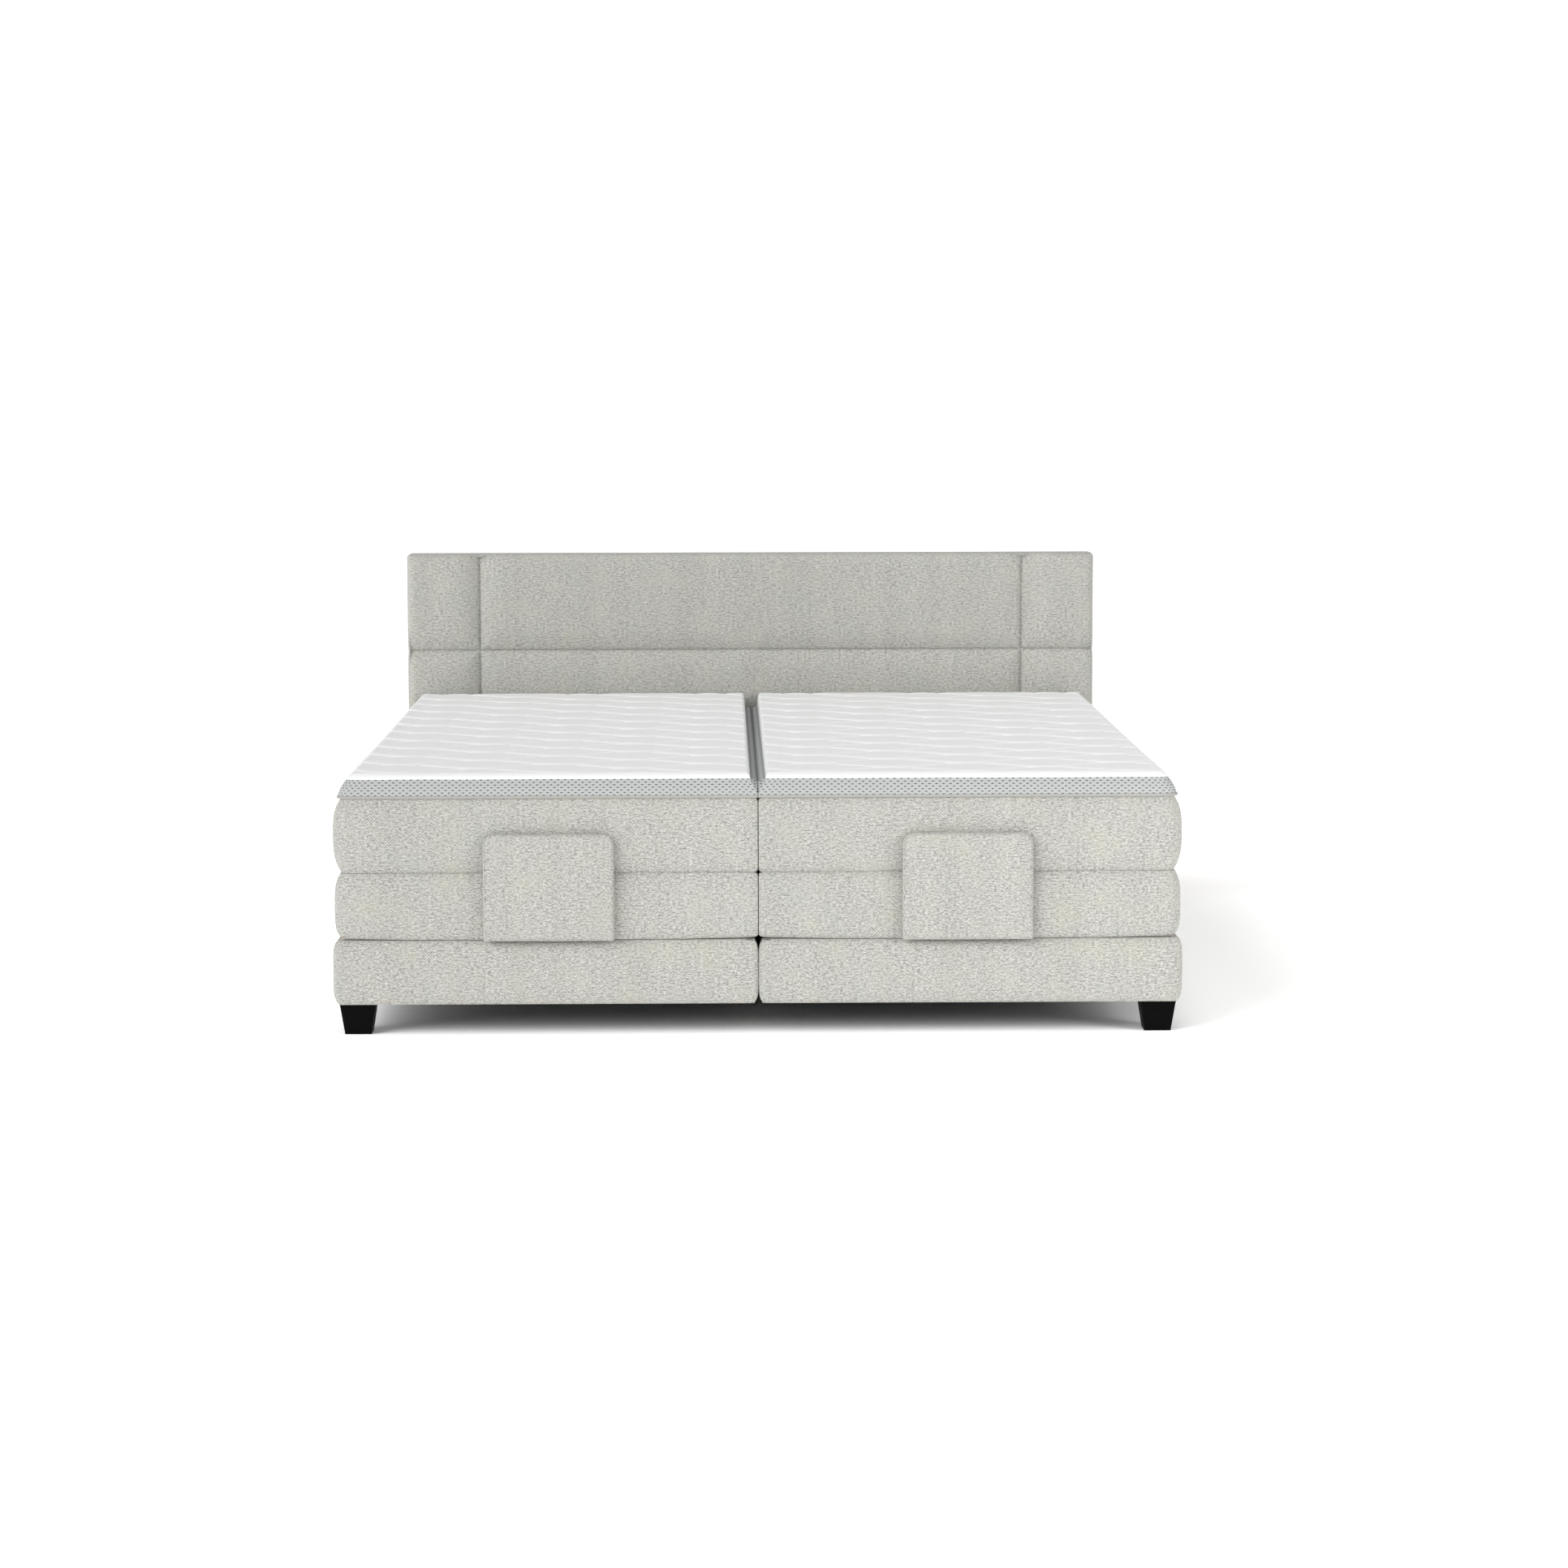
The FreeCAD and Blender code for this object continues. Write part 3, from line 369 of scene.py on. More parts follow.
def ring_surface(path, normals, profile):
    """A closed ring: a closed section of (inset, height) points swept round a closed plan path."""
    columns = len(path)
    rows = len(profile)
    insets = profile[:, 0]
    points = np.zeros((columns, rows, 3))
    points[:, :, :2] = path[:, None, :] - normals[:, None, :] * insets[None, :, None]
    points[:, :, 2] = profile[:, 1]
    around = closed_lengths(path)
    across = closed_lengths(profile)
    faces = []
    cloth = []
    for i in range(columns):
        for j in range(rows):
            i1 = (i + 1) % columns
            j1 = (j + 1) % rows
            faces.append([i * rows + j, i1 * rows + j, i1 * rows + j1, i * rows + j1])
            cloth += [(around[i], across[j]), (around[i + 1], across[j]),
                      (around[i + 1], across[j + 1]), (around[i], across[j + 1])]
    return points, faces, np.array(cloth)


# Soft forms

def bell(distance, width):
    """A smooth bump: 1 at no distance, about a third at the width, and nothing far off."""
    return np.exp(-(distance / width) ** 2)


def near(distance, reach):
    """Falls evenly from 1 at no distance to 0 at the reach."""
    return np.clip(1 - distance / reach, 0, 1)


def slack(along, across, seed):
    """Slow unevenness of padding, from -1 to 1: crossing waves of unlike lengths."""
    waves = ((0.41, 0.13, 0.3), (0.23, 0.31, 1.9), (0.155, 0.09, 4.1), (0.31, 0.21, 2.6))
    total = np.zeros_like(along)
    for number, (long_wave, short_wave, phase) in enumerate(waves):
        turn = phase * (1 + seed) + 1.3 * number * seed
        lengthwise = np.sin(2 * math.pi * along / long_wave + turn)
        total += lengthwise * np.cos(2 * math.pi * across / short_wave + 2.1 * turn)
    return total / len(waves)


def gathers(along, depth, pitch=0.0085, reach=0.009):
    """Small gathers of the cloth beside a seam, from -1 to 1. depth is how far from the seam."""
    drift = 1.9 * np.sin(along * 37.0) + 1.3 * np.sin(along * 83.0 + 1.0)
    strength = 0.55 + 0.25 * np.sin(along * 61.0) + 0.2 * np.sin(along * 149.0 + 2.0)
    return strength * np.sin(2 * math.pi * along / pitch + drift) * np.exp(-depth / reach)


def edge_inset(height, low, high, inset, top_power, bottom_power):
    """How far a padded side pulls in at a height: nothing in its middle, all of it at its edges."""
    share = (height - (low + high) / 2) / ((high - low) / 2)
    power = np.where(share > 0, top_power, bottom_power)
    return inset * np.abs(share) ** power


def round_edge(points, axis_a, edge_a, sign_a, axis_b, edge_b, sign_b, radius):
    """Rounds the edge where two sides of a box meet, in the plane of axes a and b."""
    da = (points[:, axis_a] - edge_a) * sign_a + radius
    db = (points[:, axis_b] - edge_b) * sign_b + radius
    scale = np.maximum(da, db) / np.maximum(np.hypot(da, db), 1e-9)
    scale = np.where((da > 0) & (db > 0), scale, 1.0)
    points[:, axis_a] = edge_a + sign_a * (da * scale - radius)
    points[:, axis_b] = edge_b + sign_b * (db * scale - radius)
    return points


def round_plan(points, low, high, radii):
    """Rounds the plan corners. radii gives the corners at low x, then those at high x."""
    for x_edge, x_side, radius in ((low[0], -1, radii[0]), (high[0], 1, radii[1])):
        for y_edge, y_side in ((low[1], -1), (high[1], 1)):
            points = round_edge(points, 0, x_edge, x_side, 1, y_edge, y_side, radius)
    return points


def pull_in(points, low, high, insets, width=SQUEEZE, axes=(0, 1)):
    """Pulls the outer part of a box in. insets gives the low and high one of each axis in turn."""
    for number, axis in enumerate(axes):
        at_low = near(points[:, axis] - low[axis], width)
        at_high = near(high[axis] - points[:, axis], width)
        points[:, axis] += at_low * insets[2 * number] - at_high * insets[2 * number + 1]
    return points


def corner_inset(depth, radius):
    """How far a quarter-round edge lies inside its corner at a depth from that corner."""
    short = np.clip(radius - depth, 0, radius)
    return radius - np.sqrt(radius * radius - short * short)


def padded_side_shape(low, high, side, insets, powers, seed):
    """The shape of a padded layer: rounded corners, convex sides and gathered edges.

    insets are those of the outer side and of the foot and head ends. The side in the middle of
    the bed is pressed flat, and only rounded where its seams reach an end.
    """
    outer_inset, end_inset = insets

    def shape(rest):
        points = rest.copy()
        depth = np.minimum(rest[:, 2] - low[2], high[2] - rest[:, 2])
        away_from_edge = np.clip(depth / SEAM_ZONE, 0, 1)
        for axis, edge, sign in ((0, high if side > 0 else low, side), (1, low, -1), (1, high, 1)):
            along = rest[:, 1 - axis]
            on = np.abs(rest[:, axis] - edge[axis]) < ON_EDGE
            corner = np.minimum(along - low[1 - axis], high[1 - axis] - along)
            clear = np.clip(corner / SEAM_ZONE - 0.5, 0, 1)
            push = GATHER * gathers(along, depth)
            push += SWELL * away_from_edge * (slack(along, rest[:, 2], seed + axis) - 0.4)
            points[:, axis] += np.where(on, sign * clear * push, 0)
        points = round_plan(points, low, high, corner_radii(side))
        outer = edge_inset(rest[:, 2], low[2], high[2], outer_inset, *powers)
        end_powers = [power * END_TIGHTNESS for power in powers]
        ends = edge_inset(rest[:, 2], low[2], high[2], end_inset, *end_powers)
        to_end = np.minimum(rest[:, 1] - low[1], high[1] - rest[:, 1])
        centre = corner_inset(depth, CENTRE_ROUND) * bell(to_end, CENTRE_ROUND_REACH)
        sides = [centre, outer] if side > 0 else [outer, centre]
        return pull_in(points, low, high, [*sides, ends, ends])
    return shape


def side_box(side, low, high, centre_gap):
    """The right-hand unit's box moved to a side, widened towards the middle of the bed."""
    low_x, high_x = sorted((side * centre_gap, side * high[0]))
    return np.array([low_x, low[1], low[2]]), np.array([high_x, high[1], high[2]])


def corner_radii(side, centre=CENTRE_CORNER, outer=OUTER_CORNER):
    """Plan radii at low x and at high x."""
    return (centre, outer) if side > 0 else (outer, centre)


def piece_spans(low_y, high_y):
    """The three lengths that a soft layer is made in, each across one hinge."""
    return {
        "head": (SPLIT_SEAT, high_y),
        "middle": (SPLIT_THIGH, SPLIT_SEAT),
        "foot": (low_y, SPLIT_THIGH),
    }


def bend(piece, side_name, part, box_layer):
    """Works out the bodies at a piece's hinge and the length it would bend over, shorter for a box, but only bakes
    the piece's transform into its mesh.
    """
    half = BOX_BEND / 2
    back, thigh, calf = (f"{side_name}_{section}" for section in ("back", "thigh", "calf"))
    bodies, box_reach, reach = {
        "head": (("base", back), (BACK_Y - half, BACK_Y + half), (SPLIT_SEAT, BACK_Y + SOFT_BACK_BEND / 2)),
        "middle": (("base", thigh), (THIGH_Y + min(half, SOFT_THIGH_START), THIGH_Y - half),
                   (THIGH_Y + SOFT_THIGH_START, THIGH_Y - SOFT_THIGH_END)),
        "foot": ((thigh, calf), (KNEE_Y + half, KNEE_Y - half), (SPLIT_THIGH, KNEE_Y - SOFT_KNEE_BEND / 2)),
    }[part]
    start, end = box_reach if box_layer else reach
    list(bodies)
    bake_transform(piece)


def add_all_sides(lattice, coarse, flat_ends=(False, False), slot=lambda u, v: 0):
    """Flanks, both ends and a coarse bottom. A flat end is a single face."""
    lattice.add_side(0, False, slot=slot)
    lattice.add_side(0, True, slot=slot)
    lattice.add_side(1, False, ONE_FACE if flat_ends[0] else 1, slot=lambda u, v: slot(v, u))
    lattice.add_side(1, True, ONE_FACE if flat_ends[1] else 1, slot=lambda u, v: slot(v, u))
    lattice.add_side(2, False, coarse)


# Materials

class Nodes:
    """Short calls for making the nodes of a material or world."""

    def __init__(self, tree):
        self.tree = tree

    def node(self, kind, inputs=None, **settings):
        """A new node. inputs gives sockets, by name or number, their output or value."""
        made = self.tree.nodes.new(kind)
        for key, value in settings.items():
            setattr(made, key, value)
        for key, value in (inputs or {}).items():
            self.link(value, made.inputs[key])
        return made

    def link(self, value, socket):
        """Joins an output to a socket, or sets the socket to a number or colour."""
        if isinstance(value, bpy.types.NodeSocket):
            self.tree.links.new(value, socket)
        else:
            socket.default_value = value

    def math(self, operation, a, b=0.0, c=0.0):
        return self.node("ShaderNodeMath", {0: a, 1: b, 2: c}, operation=operation).outputs[0]

    def times(self, a, b):
        return self.math("MULTIPLY", a, b)

    def wave(self, along, length):
        """A sine wave of that length."""
        return self.math("SINE", self.times(along, 2 * math.pi / length))

    def cloth(self):
        """The place on the cloth in metres: its two coordinates, and both as a vector."""
        uv = self.node("ShaderNodeUVMap", uv_map="cloth")
        split = self.node("ShaderNodeSeparateXYZ", {0: uv.outputs[0]})
        return split.outputs[0], split.outputs[1], self.vector(split.outputs[0], split.outputs[1])

    def place(self):
        """The place on the object, as a vector in metres."""
        return self.node("ShaderNodeTexCoord").outputs["Object"]

    def vector(self, x, y, z=0.0):
        return self.node("ShaderNodeCombineXYZ", {0: x, 1: y, 2: z}).outputs[0]

    def scaled(self, vector, scale):
        return self.node("ShaderNodeVectorMath", {0: vector, 1: scale}, operation="MULTIPLY").outputs[0]

    def noise(self, vector, scale, detail=2.0, roughness=0.5):
        """Noise with one scale, or with a scale for each axis."""
        if isinstance(scale, tuple):
            vector, scale = self.scaled(vector, scale), 1.0
        inputs = {"Vector": vector, "Scale": scale, "Detail": detail, "Roughness": roughness}
        return self.node("ShaderNodeTexNoise", inputs).outputs[0]

    def range(self, value, low, high, to_low=0.0, to_high=1.0):
        inputs = {"Value": value, "From Min": low, "From Max": high, "To Min": to_low, "To Max": to_high}
        return self.node("ShaderNodeMapRange", inputs).outputs[0]

    def mix(self, factor, a, b):
        a, b = ((*value, 1) if isinstance(value, tuple) else value for value in (a, b))
        return self.node("ShaderNodeMix", {0: factor, 6: a, 7: b}, data_type="RGBA").outputs[2]

    def finish(self, shader, color, roughness, height, strength, distance):
        """Joins a colour, a roughness and a bump of that strength and depth to the shader."""
        bump = {"Strength": strength, "Distance": distance, "Height": height}
        self.link(self.node("ShaderNodeBump", bump).outputs[0], shader.inputs["Normal"])
        self.link(color, shader.inputs["Base Color"])
        self.link(roughness, shader.inputs["Roughness"])


def new_material(name, color, roughness, metallic=0.0, specular=0.5):
    material = bpy.data.materials.new(name)
    material.use_nodes = True
    shader = material.node_tree.nodes["Principled BSDF"]
    shader.inputs["Base Color"].default_value = (*color, 1)
    shader.inputs["Roughness"].default_value = roughness
    shader.inputs["Metallic"].default_value = metallic
    shader.inputs["Specular IOR Level"].default_value = specular
    return material, Nodes(material.node_tree), shader


# Colours are linear red, green and blue.
WEAVE_PERIOD = 0.0060
THREAD_DARK, THREAD_LIGHT = (0.146, 0.144, 0.134), (0.555, 0.551, 0.513)
THREAD_WARM, THREAD_COOL = (0.44, 0.427, 0.342), (0.372, 0.385, 0.383)


def upholstery_material():
    """Light warm-grey melange: staggered dots, horizontal slubs, soft yellowish and grey patches."""
    material, make, shader = new_material("upholstery_cloth", (0.56, 0.55, 0.51), 0.92, specular=0.25)
    u, v, cloth = make.cloth()
    wander = make.noise(cloth, 90.0, detail=1.0)
    shift = make.math("MULTIPLY_ADD", wander, 1.6, -0.8)
    turn = 2 * math.pi / WEAVE_PERIOD
    across = make.math("SINE", make.math("MULTIPLY_ADD", u, turn, shift))
    up = make.math("SINE", make.math("MULTIPLY_ADD", v, turn, shift))
    dots = make.times(across, up)
    flecks = make.noise(cloth, (165.0, 290.0, 1.0), roughness=0.65)
    slubs = make.noise(cloth, (60.0, 430.0, 1.0), detail=1.0)
    clusters = make.noise(cloth, 45.0)
    depth = make.times(dots, make.range(clusters, 0.35, 0.68, 0.2, 0.5))
    depth = make.math("ADD", depth, make.range(flecks, 0.32, 0.68, -0.56, 0.56))
    depth = make.math("ADD", depth, make.range(slubs, 0.3, 0.7, -0.24, 0.24))
    tone = make.range(depth, -0.85, 0.75)
    thread = make.mix(tone, THREAD_DARK, THREAD_LIGHT)
    warm = make.range(make.noise(cloth, 13.0), 0.48, 0.68)
    cool = make.range(make.noise(make.vector(v, u, 3.7), 9.0), 0.5, 0.72)
    thread = make.mix(make.times(warm, 0.24), thread, THREAD_WARM)
    thread = make.mix(make.times(cool, 0.16), thread, THREAD_COOL)
    bands = make.noise(cloth, (16.0, 0.8, 1.0), detail=1.0)
    shade = make.range(bands, 0.3, 0.7, 0.965, 1.03)
    bright = make.node("ShaderNodeVectorMath", {0: thread, "Scale": shade}, operation="SCALE")
    shader.inputs["Sheen Weight"].default_value = 0.12
    shader.inputs["Sheen Roughness"].default_value = 0.5
    roughness = make.range(tone, 0.0, 1.0, 0.97, 0.86)
    make.finish(shader, bright.outputs[0], roughness, depth, 0.35, 0.0005)
    return material


KNIT_ROW = 0.0018
KNIT_WALE = 0.0022


def topper_material():
    """White stretch knit with fine rows of stitches."""
    material, make, shader = new_material("topper_knit", (0.84, 0.845, 0.84), 0.85, specular=0.3)
    u, v, cloth = make.cloth()
    rows = make.wave(v, KNIT_ROW)
    wales = make.wave(u, KNIT_WALE)
    knit = make.times(rows, wales)
    fuzz = make.noise(cloth, 260.0, detail=3.0, roughness=0.6)
    height = make.math("ADD", make.times(knit, 0.4), fuzz)
    tone = make.range(height, 0.0, 1.0)
    cloudy = make.range(make.noise(cloth, 7.0), 0.3, 0.7)
    color = make.mix(tone, (0.70, 0.706, 0.70), (0.775, 0.779, 0.77))
    color = make.mix(make.times(cloudy, 0.15), color, (0.72, 0.735, 0.74))
    shader.inputs["Sheen Weight"].default_value = 0.15
    make.finish(shader, color, make.range(fuzz, 0.3, 0.7, 0.8, 0.92), height, 0.25, 0.0004)
    return material


MESH_PITCH = 0.0148
MESH_ROW = 0.0052
MESH_HOLE = 0.0030
MESH_HOLE_HALF_HEIGHT = 0.00115


def border_material():
    """Light grey spacer mesh with staggered rows of small openings, painted dark as the shade inside them."""
    material, make, shader = new_material("border_mesh", (0.6, 0.61, 0.6), 0.7, specular=0.3)
    u, v, cloth = make.cloth()
    row = make.math("DIVIDE", v, MESH_ROW)
    stagger = make.times(make.math("FLOORED_MODULO", make.math("FLOOR", row), 2.0), 0.5)
    along = make.math("FRACT", make.math("ADD", make.math("DIVIDE", u, MESH_PITCH), stagger))
    across = make.math("FRACT", row)
    du = make.times(make.math("SUBTRACT", along, 0.5), MESH_PITCH / MESH_HOLE)
    dv = make.times(make.math("SUBTRACT", across, 0.5), MESH_ROW / MESH_HOLE_HALF_HEIGHT)
    reach = make.math("ADD", make.times(du, du), make.times(dv, dv))
    shaded_hole = make.range(reach, 0.45, 1.5, 1.0, 0.0)
    threads = make.noise(cloth, (380.0, 700.0, 1.0), roughness=0.6)
    mesh = make.mix(make.range(threads, 0.3, 0.7), (0.325, 0.335, 0.335), (0.475, 0.485, 0.48))
    # Painted shade: the openings are coloured near-black for the shade inside them.
    color = make.mix(shaded_hole, mesh, (0.085, 0.09, 0.094))
    height = make.math("SUBTRACT", make.times(threads, 0.3), shaded_hole)
    make.finish(shader, color, make.range(threads, 0.3, 0.7, 0.6, 0.85), height, 0.5, 0.0008)
    return material


TAPE_STITCH = 0.0042
TAPE_ROW = 0.0030


def tape_material():
    """Light beige edge tape with two rows of stitching."""
    material, make, shader = new_material("edge_tape", (0.6, 0.59, 0.55), 0.9, specular=0.25)
    u, v, cloth = make.cloth()
    stitch = make.wave(u, TAPE_STITCH)
    rows = make.wave(v, TAPE_ROW)
    knot = make.range(make.times(stitch, rows), -0.2, 0.9)
    fuzz = make.noise(cloth, 420.0, roughness=0.6)
    color = make.mix(knot, (0.37, 0.366, 0.345), (0.22, 0.217, 0.20))
    color = make.mix(make.range(fuzz, 0.3, 0.7, 0.0, 0.3), color, (0.44, 0.436, 0.41))
    height = make.math("SUBTRACT", fuzz, knot)
    make.finish(shader, color, make.range(fuzz, 0.3, 0.7, 0.85, 0.95), height, 0.4, 0.0005)
    return material


def timber_material(name, light, dark, stretch):
    """Sawn wood: long grain with fine pores. stretch squeezes the grain across its run."""
    material, make, shader = new_material(name, light, 0.6)
    place = make.scaled(make.place(), stretch)
    grain = make.noise(place, 1.0, detail=4.0, roughness=0.6)
    rings = make.math("SINE", make.times(grain, 38.0))
    pores = make.noise(place, 6.0, roughness=0.7)
    height = make.math("ADD", rings, pores)
    color = make.mix(make.range(height, -0.6, 1.6), dark, light)
    make.finish(shader, color, make.range(pores, 0.3, 0.7, 0.5, 0.72), height, 0.15, 0.0004)
    return material


def lacquer_material():
    """Black satin lacquer over wood whose grain shows faintly."""
    material, make, shader = new_material("leg_lacquer", (0.003, 0.003, 0.0032), 0.5, specular=0.04)
    grain = make.noise(make.place(), (120.0, 120.0, 9.0), detail=3.0, roughness=0.6)
    color = make.mix(grain, (0.0012, 0.0012, 0.0013), (0.0030, 0.0030, 0.0031))
    make.finish(shader, color, make.range(grain, 0.3, 0.7, 0.42, 0.58), grain, 0.12, 0.0003)
    return material


def plastic_material(name, dark, light, rough_low, rough_high, grain_scale):
    """Moulded plastic with a fine eroded texture."""
    material, make, shader = new_material(name, light, rough_high)
    place = make.place()
    grain = make.noise(place, grain_scale, detail=3.0, roughness=0.6)
    cloudy = make.noise(place, 9.0)
    color = make.mix(cloudy, dark, light)
    make.finish(shader, color, make.range(grain, 0.3, 0.7, rough_low, rough_high), grain, 0.2, 0.0002)
    return material


def painted_steel_material():
    """Dark grey powder coat with orange peel and slightly rubbed tone."""
    material, make, shader = new_material("grey_powder_coat", (0.085, 0.087, 0.092), 0.5)
    peel = make.noise(make.place(), 700.0)
    rubbed = make.noise(make.place(), 14.0, detail=4.0, roughness=0.65)
    color = make.mix(make.range(rubbed, 0.45, 0.75), (0.075, 0.077, 0.082), (0.12, 0.122, 0.127))
    make.finish(shader, color, make.range(rubbed, 0.3, 0.7, 0.42, 0.58), peel, 0.2, 0.0002)
    return material


def zinc_material():
    """Zinc-plated steel with soft spangles and drawing lines."""
    material, make, shader = new_material("zinc_plating", (0.62, 0.63, 0.65), 0.35, metallic=1.0)
    spangle = make.noise(make.place(), 160.0)
    lines = make.noise(make.place(), (900.0, 30.0, 900.0))
    color = make.mix(spangle, (0.50, 0.51, 0.53), (0.72, 0.72, 0.71))
    make.finish(shader, color, make.range(lines, 0.3, 0.7, 0.26, 0.46), lines, 0.08, 0.0001)
    return material


def dust_cloth_material():
    """Black non-woven cloth with a bonded dot pattern."""
    material, make, shader = new_material("dust_cloth", (0.012, 0.012, 0.013), 0.95, specular=0.2)
    place = make.place()
    fibres = make.noise(place, 300.0, detail=3.0, roughness=0.7)
    bonds = make.node("ShaderNodeTexVoronoi", {"Vector": place, "Scale": 260.0})
    color = make.mix(fibres, (0.007, 0.007, 0.008), (0.024, 0.024, 0.026))
    height = make.math("ADD", fibres, bonds.outputs["Distance"])
    make.finish(shader, color, make.range(fibres, 0.3, 0.7, 0.85, 1.0), height, 0.4, 0.0004)
    return material


UPHOLSTERY = upholstery_material()
TOPPER = topper_material()
BORDER = border_material()
TAPE = tape_material()
LINING = timber_material("panel_ply", (0.50, 0.37, 0.23), (0.40, 0.28, 0.17), (18.0, 2.2, 18.0))
MATERIALS = {
    "frame_timber": timber_material(
        "rail_timber", (0.52, 0.36, 0.21), (0.38, 0.24, 0.13), (26.0, 1.6, 26.0)),
    "headboard_panel": timber_material(
        "headboard_ply", (0.46, 0.34, 0.21), (0.35, 0.24, 0.14), (1.8, 30.0, 22.0)),
    "dust_cloth": dust_cloth_material(),
    "leg_lacquer": lacquer_material(),
    "support_leg_plastic": plastic_material(
        "support_leg_plastic", (0.012, 0.012, 0.013), (0.02, 0.02, 0.021), 0.45, 0.6, 900.0),
    "zinc_steel": zinc_material(),
    "grey_steel": painted_steel_material(),
    "black_plastic": plastic_material(
        "black_plastic", (0.016, 0.016, 0.017), (0.028, 0.028, 0.03), 0.5, 0.66, 1100.0),
    "nylon": plastic_material("natural_nylon", (0.66, 0.64, 0.58), (0.74, 0.73, 0.68), 0.35, 0.5, 500.0),
}


def finish_cad_nodes():
    """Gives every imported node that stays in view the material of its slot."""
    for subpart in frame["record"]["subparts"]:
        if subpart["material_slot"] in MATERIALS:
            materials = frame["nodes"][subpart["node"]].data.materials
            materials.clear()
            materials.append(MATERIALS[subpart["material_slot"]])


# Pieces

def replaced_sections(side_name, layer, part):
    """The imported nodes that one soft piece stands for. The seat never moves, so it joins the head."""
    sections = {"head": ("back", "seat"), "middle": ("thigh",), "foot": ("calf",)}[part]
    return [f"{side_name}_{section}_{layer}" for section in sections]


def layer_lattice(low, high, start, stop):
    """The grid of one length of a mattress or box."""
    columns = even_lines(low[0], high[0], COLUMN)
    rows = eased_lines(low[2], high[2], PROFILE_ROWS)
    return Lattice(columns, even_lines(start, stop, SIDE_COLUMN), rows)


def mattress_pieces(side_name, side):
    """The mattresses, between the seam on the adjustable box and the topper."""
    low, high = side_box(side, MATTRESS_LOW, MATTRESS_HIGH, SLIT)
    low[2] = BOX_HIGH[2] - SEAM_DROP
    high[2] = TOPPER_LOW[2]
    shape = padded_side_shape(low, high, side, (EDGE_INSET, FRONT_INSET), EDGE_POWERS, 0.7 * side + 2)
    for part, (start, stop) in piece_spans(low[1], high[1]).items():
        lattice = layer_lattice(low, high, start, stop)
        add_all_sides(lattice, COARSE, (part != "foot", part != "head"))
        lattice.add_side(2, True, COARSE)
        piece = lattice_object(f"{side_name}_mattress_{part}", lattice, shape, [UPHOLSTERY])
        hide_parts(*replaced_sections(side_name, "mattress", part))
        bend(piece, side_name, part, box_layer=False)


def box_pieces(side_name, side):
    """The upholstered shells round the adjustable frames, open below."""
    low, high = side_box(side, BOX_LOW, BOX_HIGH, SLIT)
    high[2] = BOX_HIGH[2] - SEAM_DROP
    (high if side > 0 else low)[0] -= side * BOX_NARROWER
    insets = (BOX_EDGE_INSET, BOX_FRONT_INSET)
    padded = padded_side_shape(low, high, side, insets, BOX_EDGE_POWERS, 0.9 * side + 5)

    def shape(rest):
        """Padded, with the lower edge drawn up a little near the corners of the foot end."""
        points = padded(rest)
        near_edge = near(rest[:, 2] - low[2], SEAM_ZONE) ** 2
        to_side = np.minimum(rest[:, 0] - low[0], high[0] - rest[:, 0])
        to_corner = np.hypot(to_side, rest[:, 1] - low[1])
        points[:, 2] += BOX_LIFT * near_edge * bell(to_corner, BOX_LIFT_REACH)
        return points

    inside_low = np.array([BOX_LOW[0], low[1], low[2]]) + (BOX_WALL, BOX_WALL, 0)
    inside_high = np.array([BOX_HIGH[0], high[1], high[2]]) - (BOX_WALL, BOX_WALL, BOX_PANEL)
    if side < 0:
        inside_low[0], inside_high[0] = -inside_high[0], -inside_low[0]

    def inner(rest):
        return np.clip(rest, inside_low, inside_high)

    for part, (start, stop) in piece_spans(low[1], high[1]).items():
        lattice = layer_lattice(low, high, start, stop)
        lattice.add_side(0, False)
        lattice.add_side(0, True)
        if part == "foot":
            lattice.add_side(1, False)
        if part == "head":
            lattice.add_side(1, True)
        lattice.add_side(2, True, COARSE)
        piece = shell_object(f"{side_name}_box_{part}", lattice, shape, inner, [UPHOLSTERY, LINING])
        replaced = replaced_sections(side_name, "board", part)
        if part == "head":
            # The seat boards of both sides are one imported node.
            replaced = [f"{side_name}_back_board"] + (["seat_boards"] if side > 0 else [])
        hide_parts(*replaced)
        bend(piece, side_name, part, box_layer=True)


def quilt_height(from_left, from_foot):
    """Height of the quilted top over its stitch lines, which swing in turn to and fro."""
    swing = QUILT_SWING * np.cos(2 * math.pi * (from_left - QUILT_PHASE) / QUILT_WAVE)
    nearest = np.full_like(from_foot, QUILT_PITCH)
    for line in range(QUILT_LINES):
        middle = QUILT_START + line * QUILT_PITCH + (-swing if line % 2 == 0 else swing)
        nearest = np.minimum(nearest, np.hypot(from_foot - middle, STITCH_ROUND) - STITCH_ROUND)
    return QUILT_PUFF * (1 - near(nearest, QUILT_SOFTNESS) ** 2)


def topper_insets(rest, side, low, high):
    """How far the border stands in at low x, high x, low y and high y: a lean with a proud tape."""
    height = rest[:, 2] - low[2]
    level = np.clip(height / (BORDER_TOP - low[2]), 0, 1)
    tape_height = TAPE_TOP - low[2]
    bulge = np.sqrt(np.clip(1 - (2 * height / tape_height - 1) ** 2, 0, 1))
    proud = TAPE_BULGE * np.where(height <= tape_height + ON_EDGE, bulge, 0)
    outer = TOPPER_LEAN * level ** LEAN_POWER - proud
    to_end = np.minimum(rest[:, 1] - low[1], high[1] - rest[:, 1])
    closed = CHANNEL_CLOSED * (1 - CHANNEL_OPENING * bell(to_end, CHANNEL_MOUTH))
    centre = TOPPER_CENTRE_LEAN * np.clip((level - closed) / (1 - closed), 0, 1)
    centre -= CENTRE_TAPE_SHARE * proud
    return [centre, outer, outer, outer] if side > 0 else [outer, centre, outer, outer]


